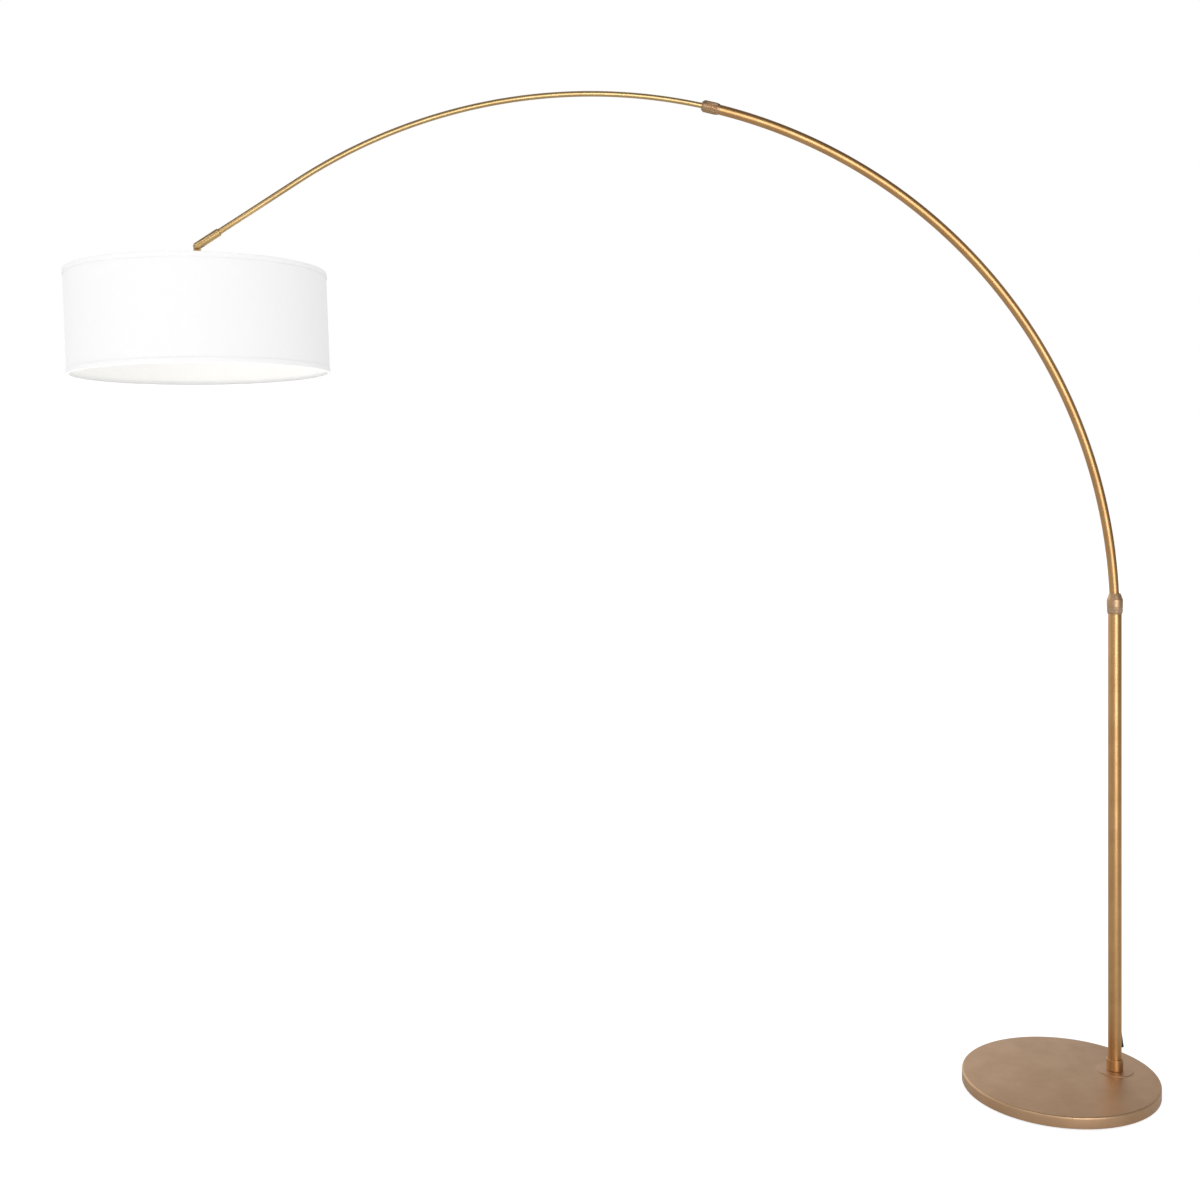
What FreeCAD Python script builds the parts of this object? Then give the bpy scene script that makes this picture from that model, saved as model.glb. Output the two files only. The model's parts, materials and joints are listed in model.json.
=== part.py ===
"""Arc floor lamp: round weighted base, pole, telescopic arc and a drum shade.

The origin is the middle of the base where it meets the floor. +Z is up, +X runs
from the middle of the base to the pole, and the arm reaches out towards -X.
Millimetres throughout.
"""
import FreeCAD
import Part
import os

import Sketcher

DOC = FreeCAD.newDocument("arc_floor_lamp")

SIZES = [
    # base
    ("base_radius", 205), ("base_top", 25), ("cover_wall", 1.5), ("cover_lip", 2),
    ("cover_round", 4), ("pad_radius", 196), ("pad_thick", 3), ("weight_radius", 203.3),
    ("service_radius", 20), ("service_depth", 13.5),
    # foot of the pole
    ("pole_offset", 125), ("plate_radius", 38.5), ("plate_thick", 1), ("collar_radius", 17.2),
    ("collar_tall", 24), ("plug_tall", 30), ("bolt_radius", 6), ("bolt_end", 50),
    ("bolt_head_flat", 18), ("bolt_head_tall", 7.5), ("washer_radius", 15), ("washer_thick", 2.5),
    # pole and its cord outlet
    ("pole_radius", 14), ("pole_wall", 1.5), ("pole_top", 1001), ("outlet_radius", 3.7),
    ("outlet_bore", 2.9), ("outlet_long", 40), ("outlet_low", 73), ("outlet_lean", 9),
    ("outlet_proud", 2.7),
    # clamp at the pole's top
    ("insert_depth", 36), ("neck_tall", 18), ("neck_radius", 13.6), ("chamber_radius", 11.6),
    ("chamber_depth", 20), ("collet_tall", 16), ("pole_nut_radius", 16.8), ("pole_nut_tall", 44),
    ("pole_nut_cone", 12), ("pole_nut_mouth", 11.5), ("fit_gap", 0.05), ("gland_gap", 0.8), ("slit_width", 1),
    ("nut_skirt", 4), ("nut_lift", 0.5), ("nut_round", 2),
    # arc tube
    ("arc_radius", 1068), ("arc_level", 990), ("mouth_angle", 79.5), ("tube_radius", 10),
    ("tube_wall", 1.5), ("tail_long", 320), ("bush_tall", 30), ("clip_thick", 2), ("cap_thick", 3),
    ("cap_plug", 10), ("cap_bore", 4), ("tail_gap", 0.6),
    # clamp at the tube's mouth, measured along its own axis
    ("clamp_angle", 79.95), ("clamp_ahead", 8.4), ("mouth_cover", 10), ("spigot_long", 16),
    ("spigot_radius", 8.2), ("mouth_neck", 16), ("mouth_neck_radius", 10.6),
    ("arm_nut_radius", 12.3), ("arm_nut_long", 36.5), ("arm_nut_nose", 8), ("rod_collet_long", 6),
    ("rod_chamber", 8), ("nose_bore", 6.3), ("lead_gap", 0.35), ("grip_gap", 0.15), ("end_gap", 0.2),
    ("nose_round", 1.5),
    # rod
    ("rod_radius", 5.5), ("rod_wall", 1.2), ("rod_start", 60), ("rod_bend_end", 125.5),
    ("rod_straight", 235), ("glide_start", 60.3), ("glide_angle", 1.5),
    # end sleeve and tilt joint
    ("sleeve_radius", 7.5), ("sleeve_long", 57), ("socket_long", 34), ("cheek_gap", 5.2),
    ("fork_deep", 19), ("pin_radius", 2), ("tongue_thick", 5), ("tongue_radius", 6.6),
    ("neck_drop", 11), ("tongue_neck_tall", 15), ("screw_radius", 2), ("screw_ahead", 12),
    ("screw_short", 0.3), ("sleeve_round", 2),
    # length of a tool that cuts right through a small piece
    ("through", 20),
    # stem and lampholder, measured down from the tilt pin along the shade's own axis
    ("shade_lean", 2.2),
    ("stem_radius", 5), ("stem_bore", 3.5), ("stem_top", 14), ("stem_bottom", 42),
    ("stem_nut_flat", 14), ("stem_nut_thick", 4), ("cap_top", 37), ("cap_bottom", 59),
    ("holder_radius", 19.5), ("holder_bottom", 102), ("socket_radius", 13.3), ("shell_wall", 0.4),
    ("shell_tall", 26), ("insert_disc", 12), ("shade_ring_radius", 27), ("shade_ring_thick", 5),
    # shade
    ("shade_radius", 235), ("shade_drop", 245.4), ("shade_tall", 193), ("fabric_thick", 0.6),
    ("lining_thick", 0.5), ("hem_tall", 9), ("hem_thick", 0.4), ("wire_radius", 1.25),
    ("wire_inset", 2.2), ("hub_drop", 72.5), ("hub_thick", 1.5), ("hub_radius", 33), ("arm_count", 3),
]

sheet = DOC.addObject("Spreadsheet::Sheet", "sizes")
for row, (alias, number) in enumerate(SIZES, start=1):
    sheet.set(f"A{row}", alias)
    sheet.set(f"B{row}", str(number))
    sheet.setAlias(f"B{row}", alias)
DOC.recompute()

ALIASES = {alias for alias, number in SIZES}
NODES = []


def cell(text):
    """Write an expression in short: every known alias is read from the sheet."""
    words = []
    word = ""
    for letter in text + " ":
        if letter.isalnum() or letter == "_":
            word += letter
            continue
        words.append("sizes." + word if word in ALIASES else word)
        words.append(letter)
        word = ""
    return "".join(words).strip()


def value(text):
    """The number that an expression has now."""
    result = sheet.evalExpression(cell(text))
    return float(getattr(result, "Value", result))


# ---- places that several pieces share, as expressions -------------------------------------

INNER_RADIUS = "(pole_radius - pole_wall)"
TUBE_BORE = "(tube_radius - tube_wall)"
FOOT = "(base_top + plate_thick)"
ARC_X = "(pole_offset - arc_radius)"
TIP = "(rod_straight - sleeve_radius)"
PIN_X = (f"({ARC_X} + arc_radius * cos(rod_bend_end * 1 deg)"
         f" - {TIP} * sin(rod_bend_end * 1 deg))")
PIN_Z = (f"(arc_level + arc_radius * sin(rod_bend_end * 1 deg)"
         f" + {TIP} * cos(rod_bend_end * 1 deg))")


def hang(drop):
    """Place of a point `drop` mm below the tilt pin, on the leaning axis of the shade."""
    return {
        "x": f"{PIN_X} + ({drop}) * sin(shade_lean * 1 deg)",
        "z": f"{PIN_Z} - ({drop}) * cos(shade_lean * 1 deg)",
        "turn": "shade_lean",
    }


# ---- ways of making a piece -----------------------------------------------------------------

def node(piece, label):
    """Name a finished piece and keep it for export."""
    piece.Label = label
    NODES.append(piece)
    return piece


def place(piece, x="", y="", z="", turn=""):
    """Bind a piece's place; turn is an angle in degrees about -Y, from +X up towards +Z."""
    if turn:
        piece.Placement.Rotation = FreeCAD.Rotation(FreeCAD.Vector(0, -1, 0), value(turn))
        piece.setExpression("Placement.Rotation.Angle", cell(f"({turn}) * 1 deg"))
    for axis, text in (("x", x), ("y", y), ("z", z)):
        if text:
            piece.setExpression(f"Placement.Base.{axis}", cell(text))
    return piece


def origin_plane(body, role):
    """One of the body's own origin planes."""
    return next(item for item in body.Origin.OriginFeatures if item.Role == role)


def new_sketch(body, role):
    """An empty sketch on one of the body's own planes."""
    sketch = body.newObject("Sketcher::SketchObject", "outline")
    sketch.AttachmentSupport = [(origin_plane(body, role), "")]
    sketch.MapMode = "FlatFace"
    return sketch


def pin_point(sketch, line, across, up):
    """Hold the start of a line at (across, up), both expressions."""
    for kind, text, axis in (("DistanceX", across, -2), ("DistanceY", up, -1)):
        size = value(text)
        if abs(size) < 1e-9:
            sketch.addConstraint(Sketcher.Constraint("PointOnObject", line, 1, axis))
            continue
        index = sketch.addConstraint(Sketcher.Constraint(kind, -1, 1, line, 1, size))
        sketch.setExpression(f"Constraints[{index}]", cell(text))


def lathe(label, outline, x="", z="", turn=""):
    """A turned blank: a closed outline of (radius, height) swept about the local Z."""
    body = DOC.addObject("PartDesign::Body", label)
    sketch = new_sketch(body, "XZ_Plane")
    points = [FreeCAD.Vector(value(radius), value(height), 0) for radius, height in outline]
    for start, end in zip(points, points[1:] + points[:1]):
        sketch.addGeometry(Part.LineSegment(start, end), False)
    count = len(points)
    for line in range(count):
        sketch.addConstraint(Sketcher.Constraint("Coincident", line, 2, (line + 1) % count, 1))
    for line, (radius, height) in enumerate(outline):
        pin_point(sketch, line, radius, height)
    spin = body.newObject("PartDesign::Revolution", "spin")
    spin.Profile = sketch
    spin.ReferenceAxis = (sketch, ["V_Axis"])
    spin.Angle = 360
    DOC.recompute()
    return place(body, x=x, z=z, turn=turn)


def turned(label, outline, **where):
    """A finished lathe-turned piece."""
    return node(lathe(label, outline, **where), label)


def rim_edges(shape, radius, height):
    """Names of the circular edges with this radius at this height, about the local Z."""
    names = []
    for number, edge in enumerate(shape.Edges, start=1):
        curve = edge.Curve
        round_edge = isinstance(curve, Part.Circle)
        if round_edge and abs(curve.Radius - radius) < 0.01 and abs(curve.Center.z - height) < 0.01:
            names.append(f"Edge{number}")
    return names


def soften(body, size, rims, kind="PartDesign::Fillet"):
    """Round or chamfer the rims given as (radius, height) expressions."""
    base = body.Tip
    shape = base.Shape
    names = []
    for radius, height in rims:
        names += rim_edges(shape, value(radius), value(height))
    edge = body.newObject(kind, "soft_edge")
    edge.Base = (base, names)
    if kind == "PartDesign::Fillet":
        edge.Radius = value(size)
        edge.setExpression("Radius", cell(size))
    else:
        edge.Size = value(size)
        edge.setExpression("Size", cell(size))
    body.Tip = edge
    DOC.recompute()
    return body


def ring_sketch(body, outer, inner, across):
    """Two circles on the body's XY plane, centred at `across` along X."""
    sketch = new_sketch(body, "XY_Plane")
    for radius in (outer, inner):
        circle = Part.Circle(FreeCAD.Vector(value(across), 0, 0), FreeCAD.Vector(0, 0, 1), value(radius))
        line = sketch.addGeometry(circle, False)
        sketch.addConstraint(Sketcher.Constraint("PointOnObject", line, 3, -1))
        index = sketch.addConstraint(Sketcher.Constraint("DistanceX", -1, 1, line, 3, value(across)))
        sketch.setExpression(f"Constraints[{index}]", cell(across))
        index = sketch.addConstraint(Sketcher.Constraint("Radius", line, value(radius)))
        sketch.setExpression(f"Constraints[{index}]", cell(radius))
    return sketch


def bent_tube(label, outer, inner, sweep, turn, upward, straight=""):
    """A tube round the arc's centre, with a straight stretch at the section where it starts.

    turn is the start section's angle on the arc. The bend runs up the arc from there when
    upward is true and down it otherwise, and the straight stretch leaves the other way.
    """
    body = DOC.addObject("PartDesign::Body", label)
    if straight:
        pad = body.newObject("PartDesign::Pad", "straight")
        pad.Profile = ring_sketch(body, outer, inner, "arc_radius")
        pad.Length = value(straight)
        pad.setExpression("Length", cell(straight))
        pad.Reversed = upward
        DOC.recompute()
    bend_sketch = ring_sketch(body, outer, inner, "arc_radius")
    bend = body.newObject("PartDesign::Revolution", "bend")
    bend.Profile = bend_sketch
    bend.ReferenceAxis = (bend_sketch, ["V_Axis"])
    bend.Angle = value(sweep)
    bend.setExpression("Angle", cell(sweep))
    bend.Reversed = upward
    body.Tip = bend
    DOC.recompute()
    place(body, x=ARC_X, z="arc_level", turn=turn)
    return node(body, label)


def shape_of(kind, name, **sizes):
    """A Part primitive whose sizes are expressions."""
    piece = DOC.addObject(f"Part::{kind}", name)
    for size, text in sizes.items():
        setattr(piece, size, value(text))
        piece.setExpression(size, cell(text))
    return piece


def joined(label, *pieces):
    """Several shapes fused into one solid."""
    fuse = DOC.addObject("Part::MultiFuse", label)
    fuse.Shapes = list(pieces)
    fuse.Refine = True
    return fuse


def cut(label, base, *tools):
    """A shape with the tools taken away, one after the other."""
    for number, tool in enumerate(tools):
        away = DOC.addObject("Part::Cut", f"{label}_{number}")
        away.Base = base
        away.Tool = tool
        away.Refine = True
        base = away
    return base


def rod_along(label, radius, long, x, y, z, axis, angle="90"):
    """A cylinder whose +Z is turned by angle about axis, an (x, y, z) vector."""
    piece = shape_of("Cylinder", label, Radius=radius, Height=long)
    piece.Placement.Rotation = FreeCAD.Rotation(FreeCAD.Vector(*axis), value(angle))
    return place(piece, x=x, y=y, z=z)


# ---- base -------------------------------------------------------------------------------------

def make_base():
    cover = lathe("cover_blank", [
        ("0", "base_top"),
        ("base_radius", "base_top"),
        ("base_radius", "cover_lip"),
        ("base_radius - cover_wall", "cover_lip"),
        ("base_radius - cover_wall", "base_top - cover_wall"),
        ("0", "base_top - cover_wall"),
    ])
    soften(cover, "cover_round", [("base_radius", "base_top")])
    hole = shape_of("Cylinder", "cover_bolt_hole", Radius="bolt_radius + fit_gap", Height="through")
    place(hole, x="pole_offset", z="base_top - through / 2")
    node(cut("cover_drilled", cover, hole), "base_cover")

    weight = shape_of("Cylinder", "weight_disc", Radius="weight_radius",
                      Height="base_top - cover_wall - pad_thick")
    place(weight, z="pad_thick")
    DOC.recompute()
    edge = DOC.addObject("Part::Chamfer", "weight_edge")
    edge.Base = weight
    top_rim = rim_edges(weight.Shape, value("weight_radius"), value("base_top - cover_wall"))[0]
    chamfer = value("cover_round")
    edge.Edges = [(int(top_rim.removeprefix("Edge")), chamfer, chamfer)]
    recess = shape_of("Cylinder", "weight_recess", Radius="service_radius", Height="service_depth")
    place(recess, x="pole_offset")
    bore = shape_of("Cylinder", "weight_bore", Radius="bolt_radius + fit_gap", Height="base_top")
    place(bore, x="pole_offset")
    node(cut("weight_cut", edge, recess, bore), "base_weight")

    pad = shape_of("Cylinder", "pad_disc", Radius="pad_radius", Height="pad_thick")
    access = shape_of("Cylinder", "pad_access", Radius="service_radius", Height="pad_thick")
    place(access, x="pole_offset")
    node(cut("pad_cut", pad, access), "base_pad")


def make_foot():
    plate = turned("foot_plate", [
        ("bolt_radius + fit_gap", "0"),
        ("plate_radius", "0"),
        ("plate_radius", "plate_thick"),
        ("bolt_radius + fit_gap", "plate_thick"),
    ], x="pole_offset", z="base_top")
    soften(plate, "plate_thick * 0.6", [("plate_radius", "plate_thick")])

    collar = turned("foot_collar", [
        ("pole_radius + fit_gap", "0"),
        ("collar_radius", "0"),
        ("collar_radius", "collar_tall"),
        ("pole_radius + fit_gap", "collar_tall"),
    ], x="pole_offset", z=FOOT)
    soften(collar, "1", [("collar_radius", "collar_tall")])

    turned("foot_plug", [
        ("bolt_radius", "0"),
        (INNER_RADIUS, "0"),
        (INNER_RADIUS, "plug_tall"),
        ("bolt_radius", "plug_tall"),
    ], x="pole_offset", z=FOOT)

    turned("foot_washer", [
        ("bolt_radius + fit_gap", "0"),
        ("washer_radius", "0"),
        ("washer_radius", "washer_thick"),
        ("bolt_radius + fit_gap", "washer_thick"),
    ], x="pole_offset", z="service_depth - washer_thick")

    head = shape_of("Prism", "bolt_head", Circumradius="bolt_head_flat / 2 / cos(30 deg)",
                    Height="bolt_head_tall")
    head.Polygon = 6
    place(head, x="pole_offset", z="service_depth - washer_thick - bolt_head_tall")
    shank = shape_of("Cylinder", "bolt_shank", Radius="bolt_radius",
                     Height="bolt_end - service_depth + washer_thick")
    place(shank, x="pole_offset", z="service_depth - washer_thick")
    node(joined("bolt", head, shank), "foot_bolt")


# ---- pole -------------------------------------------------------------------------------------

def outlet_tool(name, radius):
    """The cord outlet's round, leaning outline."""
    tool = shape_of("Cylinder", name, Radius=radius, Height="outlet_long")
    tool.Placement.Rotation = FreeCAD.Rotation(FreeCAD.Vector(0, -1, 0), value("outlet_lean"))
    return place(tool, x="pole_offset + pole_radius + outlet_proud", z="outlet_low")


def make_pole():
    tube = shape_of("Cylinder", "pole_outside", Radius="pole_radius", Height=f"pole_top - {FOOT}")
    place(tube, x="pole_offset", z=FOOT)
    bore = shape_of("Cylinder", "pole_inside", Radius=INNER_RADIUS, Height="pole_top")
    place(bore, x="pole_offset")
    slot = outlet_tool("outlet_slot", "outlet_radius")
    node(cut("pole_cut", tube, bore, slot), "pole_tube")

    nozzle = outlet_tool("outlet_body", "outlet_radius")
    hole = outlet_tool("outlet_hole", "outlet_bore")
    node(cut("outlet_cut", nozzle, hole), "cord_outlet")

    turned("pole_insert", [
        ("tube_radius + fit_gap", "0"),
        (INNER_RADIUS, "0"),
        (INNER_RADIUS, "insert_depth"),
        ("neck_radius", "insert_depth"),
        ("neck_radius", "insert_depth + neck_tall"),
        ("chamber_radius", "insert_depth + neck_tall"),
        ("chamber_radius", "insert_depth - chamber_depth"),
        ("tube_radius + fit_gap", "insert_depth - chamber_depth"),
    ], x="pole_offset", z="pole_top - insert_depth")

    collet = lathe("pole_collet_ring", [
        ("tube_radius + fit_gap", "0"),
        ("chamber_radius - fit_gap", "0"),
        ("chamber_radius - fit_gap", "collet_tall"),
        ("tube_radius + fit_gap", "collet_tall"),
    ], x="pole_offset", z="pole_top - chamber_depth")
    split(collet, "pole_collet", "pole_offset", "pole_top - chamber_depth", "collet_tall")

    gland_tall = "(neck_tall + chamber_depth - collet_tall + 2 * nut_lift)"
    turned("gland_ring", [
        ("tube_radius + gland_gap", "0"),
        ("chamber_radius - fit_gap", "0"),
        ("chamber_radius - fit_gap", gland_tall),
        ("tube_radius + gland_gap", gland_tall),
    ], x="pole_offset", z="pole_top - chamber_depth + collet_tall")

    nut_inside = "neck_radius + fit_gap"
    web = "(neck_tall + 2 * nut_lift)"
    nut = turned("pole_lock_nut", [
        (nut_inside, "0"),
        ("pole_nut_radius - nut_round", "0"),
        ("pole_nut_radius - nut_lift", "nut_skirt"),
        ("pole_nut_radius", "pole_nut_tall - pole_nut_cone"),
        ("pole_nut_mouth + nut_lift", "pole_nut_tall"),
        ("pole_nut_mouth", "pole_nut_tall"),
        ("pole_nut_mouth", web),
        (nut_inside, web),
    ], x="pole_offset", z="pole_top + nut_lift")
    soften(nut, "nut_round", [("pole_nut_radius", "pole_nut_tall - pole_nut_cone")])


def split(ring, label, x, z, tall):
    """Cut the narrow slit of a split clamping ring, on its +X side."""
    slit = shape_of("Box", f"{label}_slit", Length="through", Width="slit_width", Height=tall)
    place(slit, x=x, y="-slit_width / 2", z=z)
    return node(cut(f"{label}_cut", ring, slit), label)


# ---- arc tube ---------------------------------------------------------------------------------

def make_arc():
    bent_tube("arc_tube", "tube_radius", TUBE_BORE, "mouth_angle", "0", True, straight="tail_long")
    tail = "arc_level - tail_long"
    turned("tail_cap", [
        ("cap_bore", "0"),
        (f"{INNER_RADIUS} - tail_gap", "0"),
        (f"{INNER_RADIUS} - tail_gap", "cap_thick"),
        (TUBE_BORE, "cap_thick"),
        (TUBE_BORE, "cap_thick + cap_plug"),
        ("cap_bore", "cap_thick + cap_plug"),
    ], x="pole_offset", z=f"{tail} - cap_thick")
    turned("tail_bush", [
        ("tube_radius + fit_gap", "0"),
        (f"{INNER_RADIUS} - fit_gap", "0"),
        (f"{INNER_RADIUS} - fit_gap", "bush_tall"),
        ("tube_radius + fit_gap", "bush_tall"),
    ], x="pole_offset", z=f"{tail} + end_gap")
    turned("tail_clip", [
        ("tube_radius", "0"),
        (f"{INNER_RADIUS} - tail_gap", "0"),
        (f"{INNER_RADIUS} - tail_gap", "clip_thick"),
        ("tube_radius", "clip_thick"),
    ], x="pole_offset", z=f"{tail} + bush_tall + 2 * end_gap")


def mouth_frame(shift):
    """Place of a point on the clamp's axis, `shift` mm out from the tube's mouth.

    The axis touches the arc in the middle of the clamp, a little ahead of the mouth.
    """
    along = f"({shift} - clamp_ahead)"
    return {
        "x": f"{ARC_X} + arc_radius * cos(clamp_angle * 1 deg) - {along} * sin(clamp_angle * 1 deg)",
        "z": f"arc_level + arc_radius * sin(clamp_angle * 1 deg) + {along} * cos(clamp_angle * 1 deg)",
        "turn": "clamp_angle",
    }


def make_mouth_clamp():
    turned("mouth_insert", [
        ("rod_radius + lead_gap", "0"),
        ("spigot_radius", "0"),
        ("spigot_radius", "spigot_long"),
        ("mouth_neck_radius", "spigot_long"),
        ("mouth_neck_radius", "spigot_long + mouth_neck"),
        ("rod_radius + lead_gap", "spigot_long + mouth_neck"),
    ], **mouth_frame("-spigot_long"))
    turned("rod_collet", [
        ("rod_radius + grip_gap", "0"),
        ("rod_chamber - end_gap / 2", "0"),
        ("rod_chamber - end_gap / 2", "rod_collet_long"),
        ("rod_radius + grip_gap", "rod_collet_long"),
    ], **mouth_frame("mouth_neck + end_gap"))
    chamber = "(mouth_cover + mouth_neck + end_gap / 2)"
    chamber_end = f"{chamber} + rod_collet_long + 2 * end_gap"
    nut = turned("arm_lock_nut", [
        ("mouth_neck_radius + fit_gap", "0"),
        ("arm_nut_radius - 1.2", "0"),
        ("arm_nut_radius", "5"),
        ("arm_nut_radius", "arm_nut_long - arm_nut_nose"),
        ("arm_nut_radius - 1.4", "arm_nut_long - arm_nut_nose * 0.55"),
        ("nose_bore + 2.6", "arm_nut_long - 1"),
        ("nose_bore + 1.2", "arm_nut_long"),
        ("nose_bore", "arm_nut_long"),
        ("nose_bore", chamber_end),
        ("rod_chamber", chamber_end),
        ("rod_chamber", chamber),
        ("mouth_neck_radius + fit_gap", chamber),
    ], **mouth_frame("-mouth_cover"))
    soften(nut, "nose_round", [("arm_nut_radius - 1.4", "arm_nut_long - arm_nut_nose * 0.55")])


# ---- rod and tilt joint -----------------------------------------------------------------------

def tip_place(shift):
    """Place of a point on the rod's straight end, `shift` mm past the end of the bend."""
    return {
        "x": f"{ARC_X} + arc_radius * cos(rod_bend_end * 1 deg) - ({shift}) * sin(rod_bend_end * 1 deg)",
        "z": f"arc_level + arc_radius * sin(rod_bend_end * 1 deg) + ({shift}) * cos(rod_bend_end * 1 deg)",
        "turn": "rod_bend_end",
    }


def make_rod():
    bent_tube("rod", "rod_radius", "rod_radius - rod_wall", "rod_bend_end - rod_start",
              "rod_bend_end", False, straight="rod_straight - sleeve_long + socket_long")
    bent_tube("rod_glide", f"{TUBE_BORE} - fit_gap", "rod_radius", "glide_angle", "glide_start", True)

    blank = lathe("sleeve_blank", [
        ("0", "0"),
        ("sleeve_radius - 0.5", "0"),
        ("sleeve_radius", "0.8"),
        ("sleeve_radius", "sleeve_long - sleeve_radius * 0.75"),
        ("sleeve_radius * 0.75", "sleeve_long - sleeve_radius * 0.28"),
        ("sleeve_radius * 0.4", "sleeve_long"),
        ("0", "sleeve_long"),
    ], **tip_place("rod_straight - sleeve_long"))
    soften(blank, "sleeve_round", [("sleeve_radius", "sleeve_long - sleeve_radius * 0.75"),
                                   ("sleeve_radius * 0.75", "sleeve_long - sleeve_radius * 0.28")])
    socket = shape_of("Cylinder", "sleeve_socket", Radius="rod_radius", Height="socket_long")
    place(socket, **tip_place("rod_straight - sleeve_long"))
    lead_way = shape_of("Cylinder", "sleeve_lead_way", Radius="rod_radius - rod_wall", Height="sleeve_long")
    place(lead_way, **tip_place("rod_straight - sleeve_long - cheek_gap"))
    gap = shape_of("Box", "fork_gap", Length="sleeve_radius * 4", Width="cheek_gap", Height="fork_deep * 2")
    corner = tip_place("rod_straight - fork_deep")
    corner["x"] += " - sleeve_radius * 2 * cos(rod_bend_end * 1 deg)"
    corner["z"] += " - sleeve_radius * 2 * sin(rod_bend_end * 1 deg)"
    place(gap, y="-cheek_gap / 2", **corner)
    bore = rod_along("fork_bore", "pin_radius", "sleeve_radius * 4", PIN_X, "sleeve_radius * 2", PIN_Z,
                     (1, 0, 0))
    screw_hole = shape_of("Cylinder", "set_screw_hole", Radius="screw_radius", Height="sleeve_radius * 2")
    place(screw_hole, **set_screw_place())
    node(cut("sleeve_cut", blank, socket, lead_way, gap, bore, screw_hole), "end_sleeve")

    screw = shape_of("Cylinder", "screw_body", Radius="screw_radius",
                     Height="sleeve_radius - rod_radius - screw_short")
    place(screw, **set_screw_place())
    node(screw, "set_screw")
    pin = rod_along("pin", "pin_radius", "(sleeve_radius - slit_width) * 2", PIN_X,
                    "sleeve_radius - slit_width", PIN_Z, (1, 0, 0))
    node(pin, "tilt_pin")


def set_screw_place():
    """The set screw enters the sleeve from below, square to its axis, and stops on the rod."""
    spot = tip_place("rod_straight - sleeve_long + screw_ahead")
    spot["x"] += " + rod_radius * cos(rod_bend_end * 1 deg)"
    spot["z"] += " + rod_radius * sin(rod_bend_end * 1 deg)"
    spot["turn"] = "rod_bend_end - 90"
    return spot


def make_tilt():
    eye = rod_along("tongue_eye", "tongue_radius", "tongue_thick", PIN_X, "tongue_thick / 2", PIN_Z,
                    (1, 0, 0))
    web = shape_of("Box", "tongue_web", Length="tongue_radius * 2", Width="tongue_thick",
                   Height="neck_drop + slit_width")
    corner = hang("neck_drop + slit_width")
    corner["x"] += " - tongue_radius * cos(shade_lean * 1 deg)"
    corner["z"] += " - tongue_radius * sin(shade_lean * 1 deg)"
    place(web, y="-tongue_thick / 2", **corner)
    neck = shape_of("Cylinder", "tongue_neck", Radius="sleeve_radius", Height="tongue_neck_tall")
    place(neck, **hang("neck_drop + tongue_neck_tall"))
    eye_bore = rod_along("tongue_bore", "pin_radius + fit_gap", "through", PIN_X, "through / 2", PIN_Z,
                         (1, 0, 0))
    thread = shape_of("Cylinder", "tongue_thread", Radius="stem_radius", Height="through")
    place(thread, **hang("stem_top + through"))
    node(cut("tongue_cut", joined("tongue", eye, web, neck), eye_bore, thread), "tilt_tongue")

    turned("stem", [
        ("stem_bore", "0"),
        ("stem_radius", "0"),
        ("stem_radius", "stem_bottom - stem_top"),
        ("stem_bore", "stem_bottom - stem_top"),
    ], **hang("stem_bottom"))
    hexagon = shape_of("Prism", "stem_nut_hexagon", Circumradius="stem_nut_flat / 2 / cos(30 deg)",
                       Height="stem_nut_thick")
    hexagon.Polygon = 6
    place(hexagon, **hang("cap_top"))
    thread_hole = shape_of("Cylinder", "stem_nut_hole", Radius="stem_radius", Height="through")
    place(thread_hole, **hang("cap_top + through / 2"))
    node(cut("stem_nut_cut", hexagon, thread_hole), "stem_nut")


# ---- lampholder -------------------------------------------------------------------------------

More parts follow.
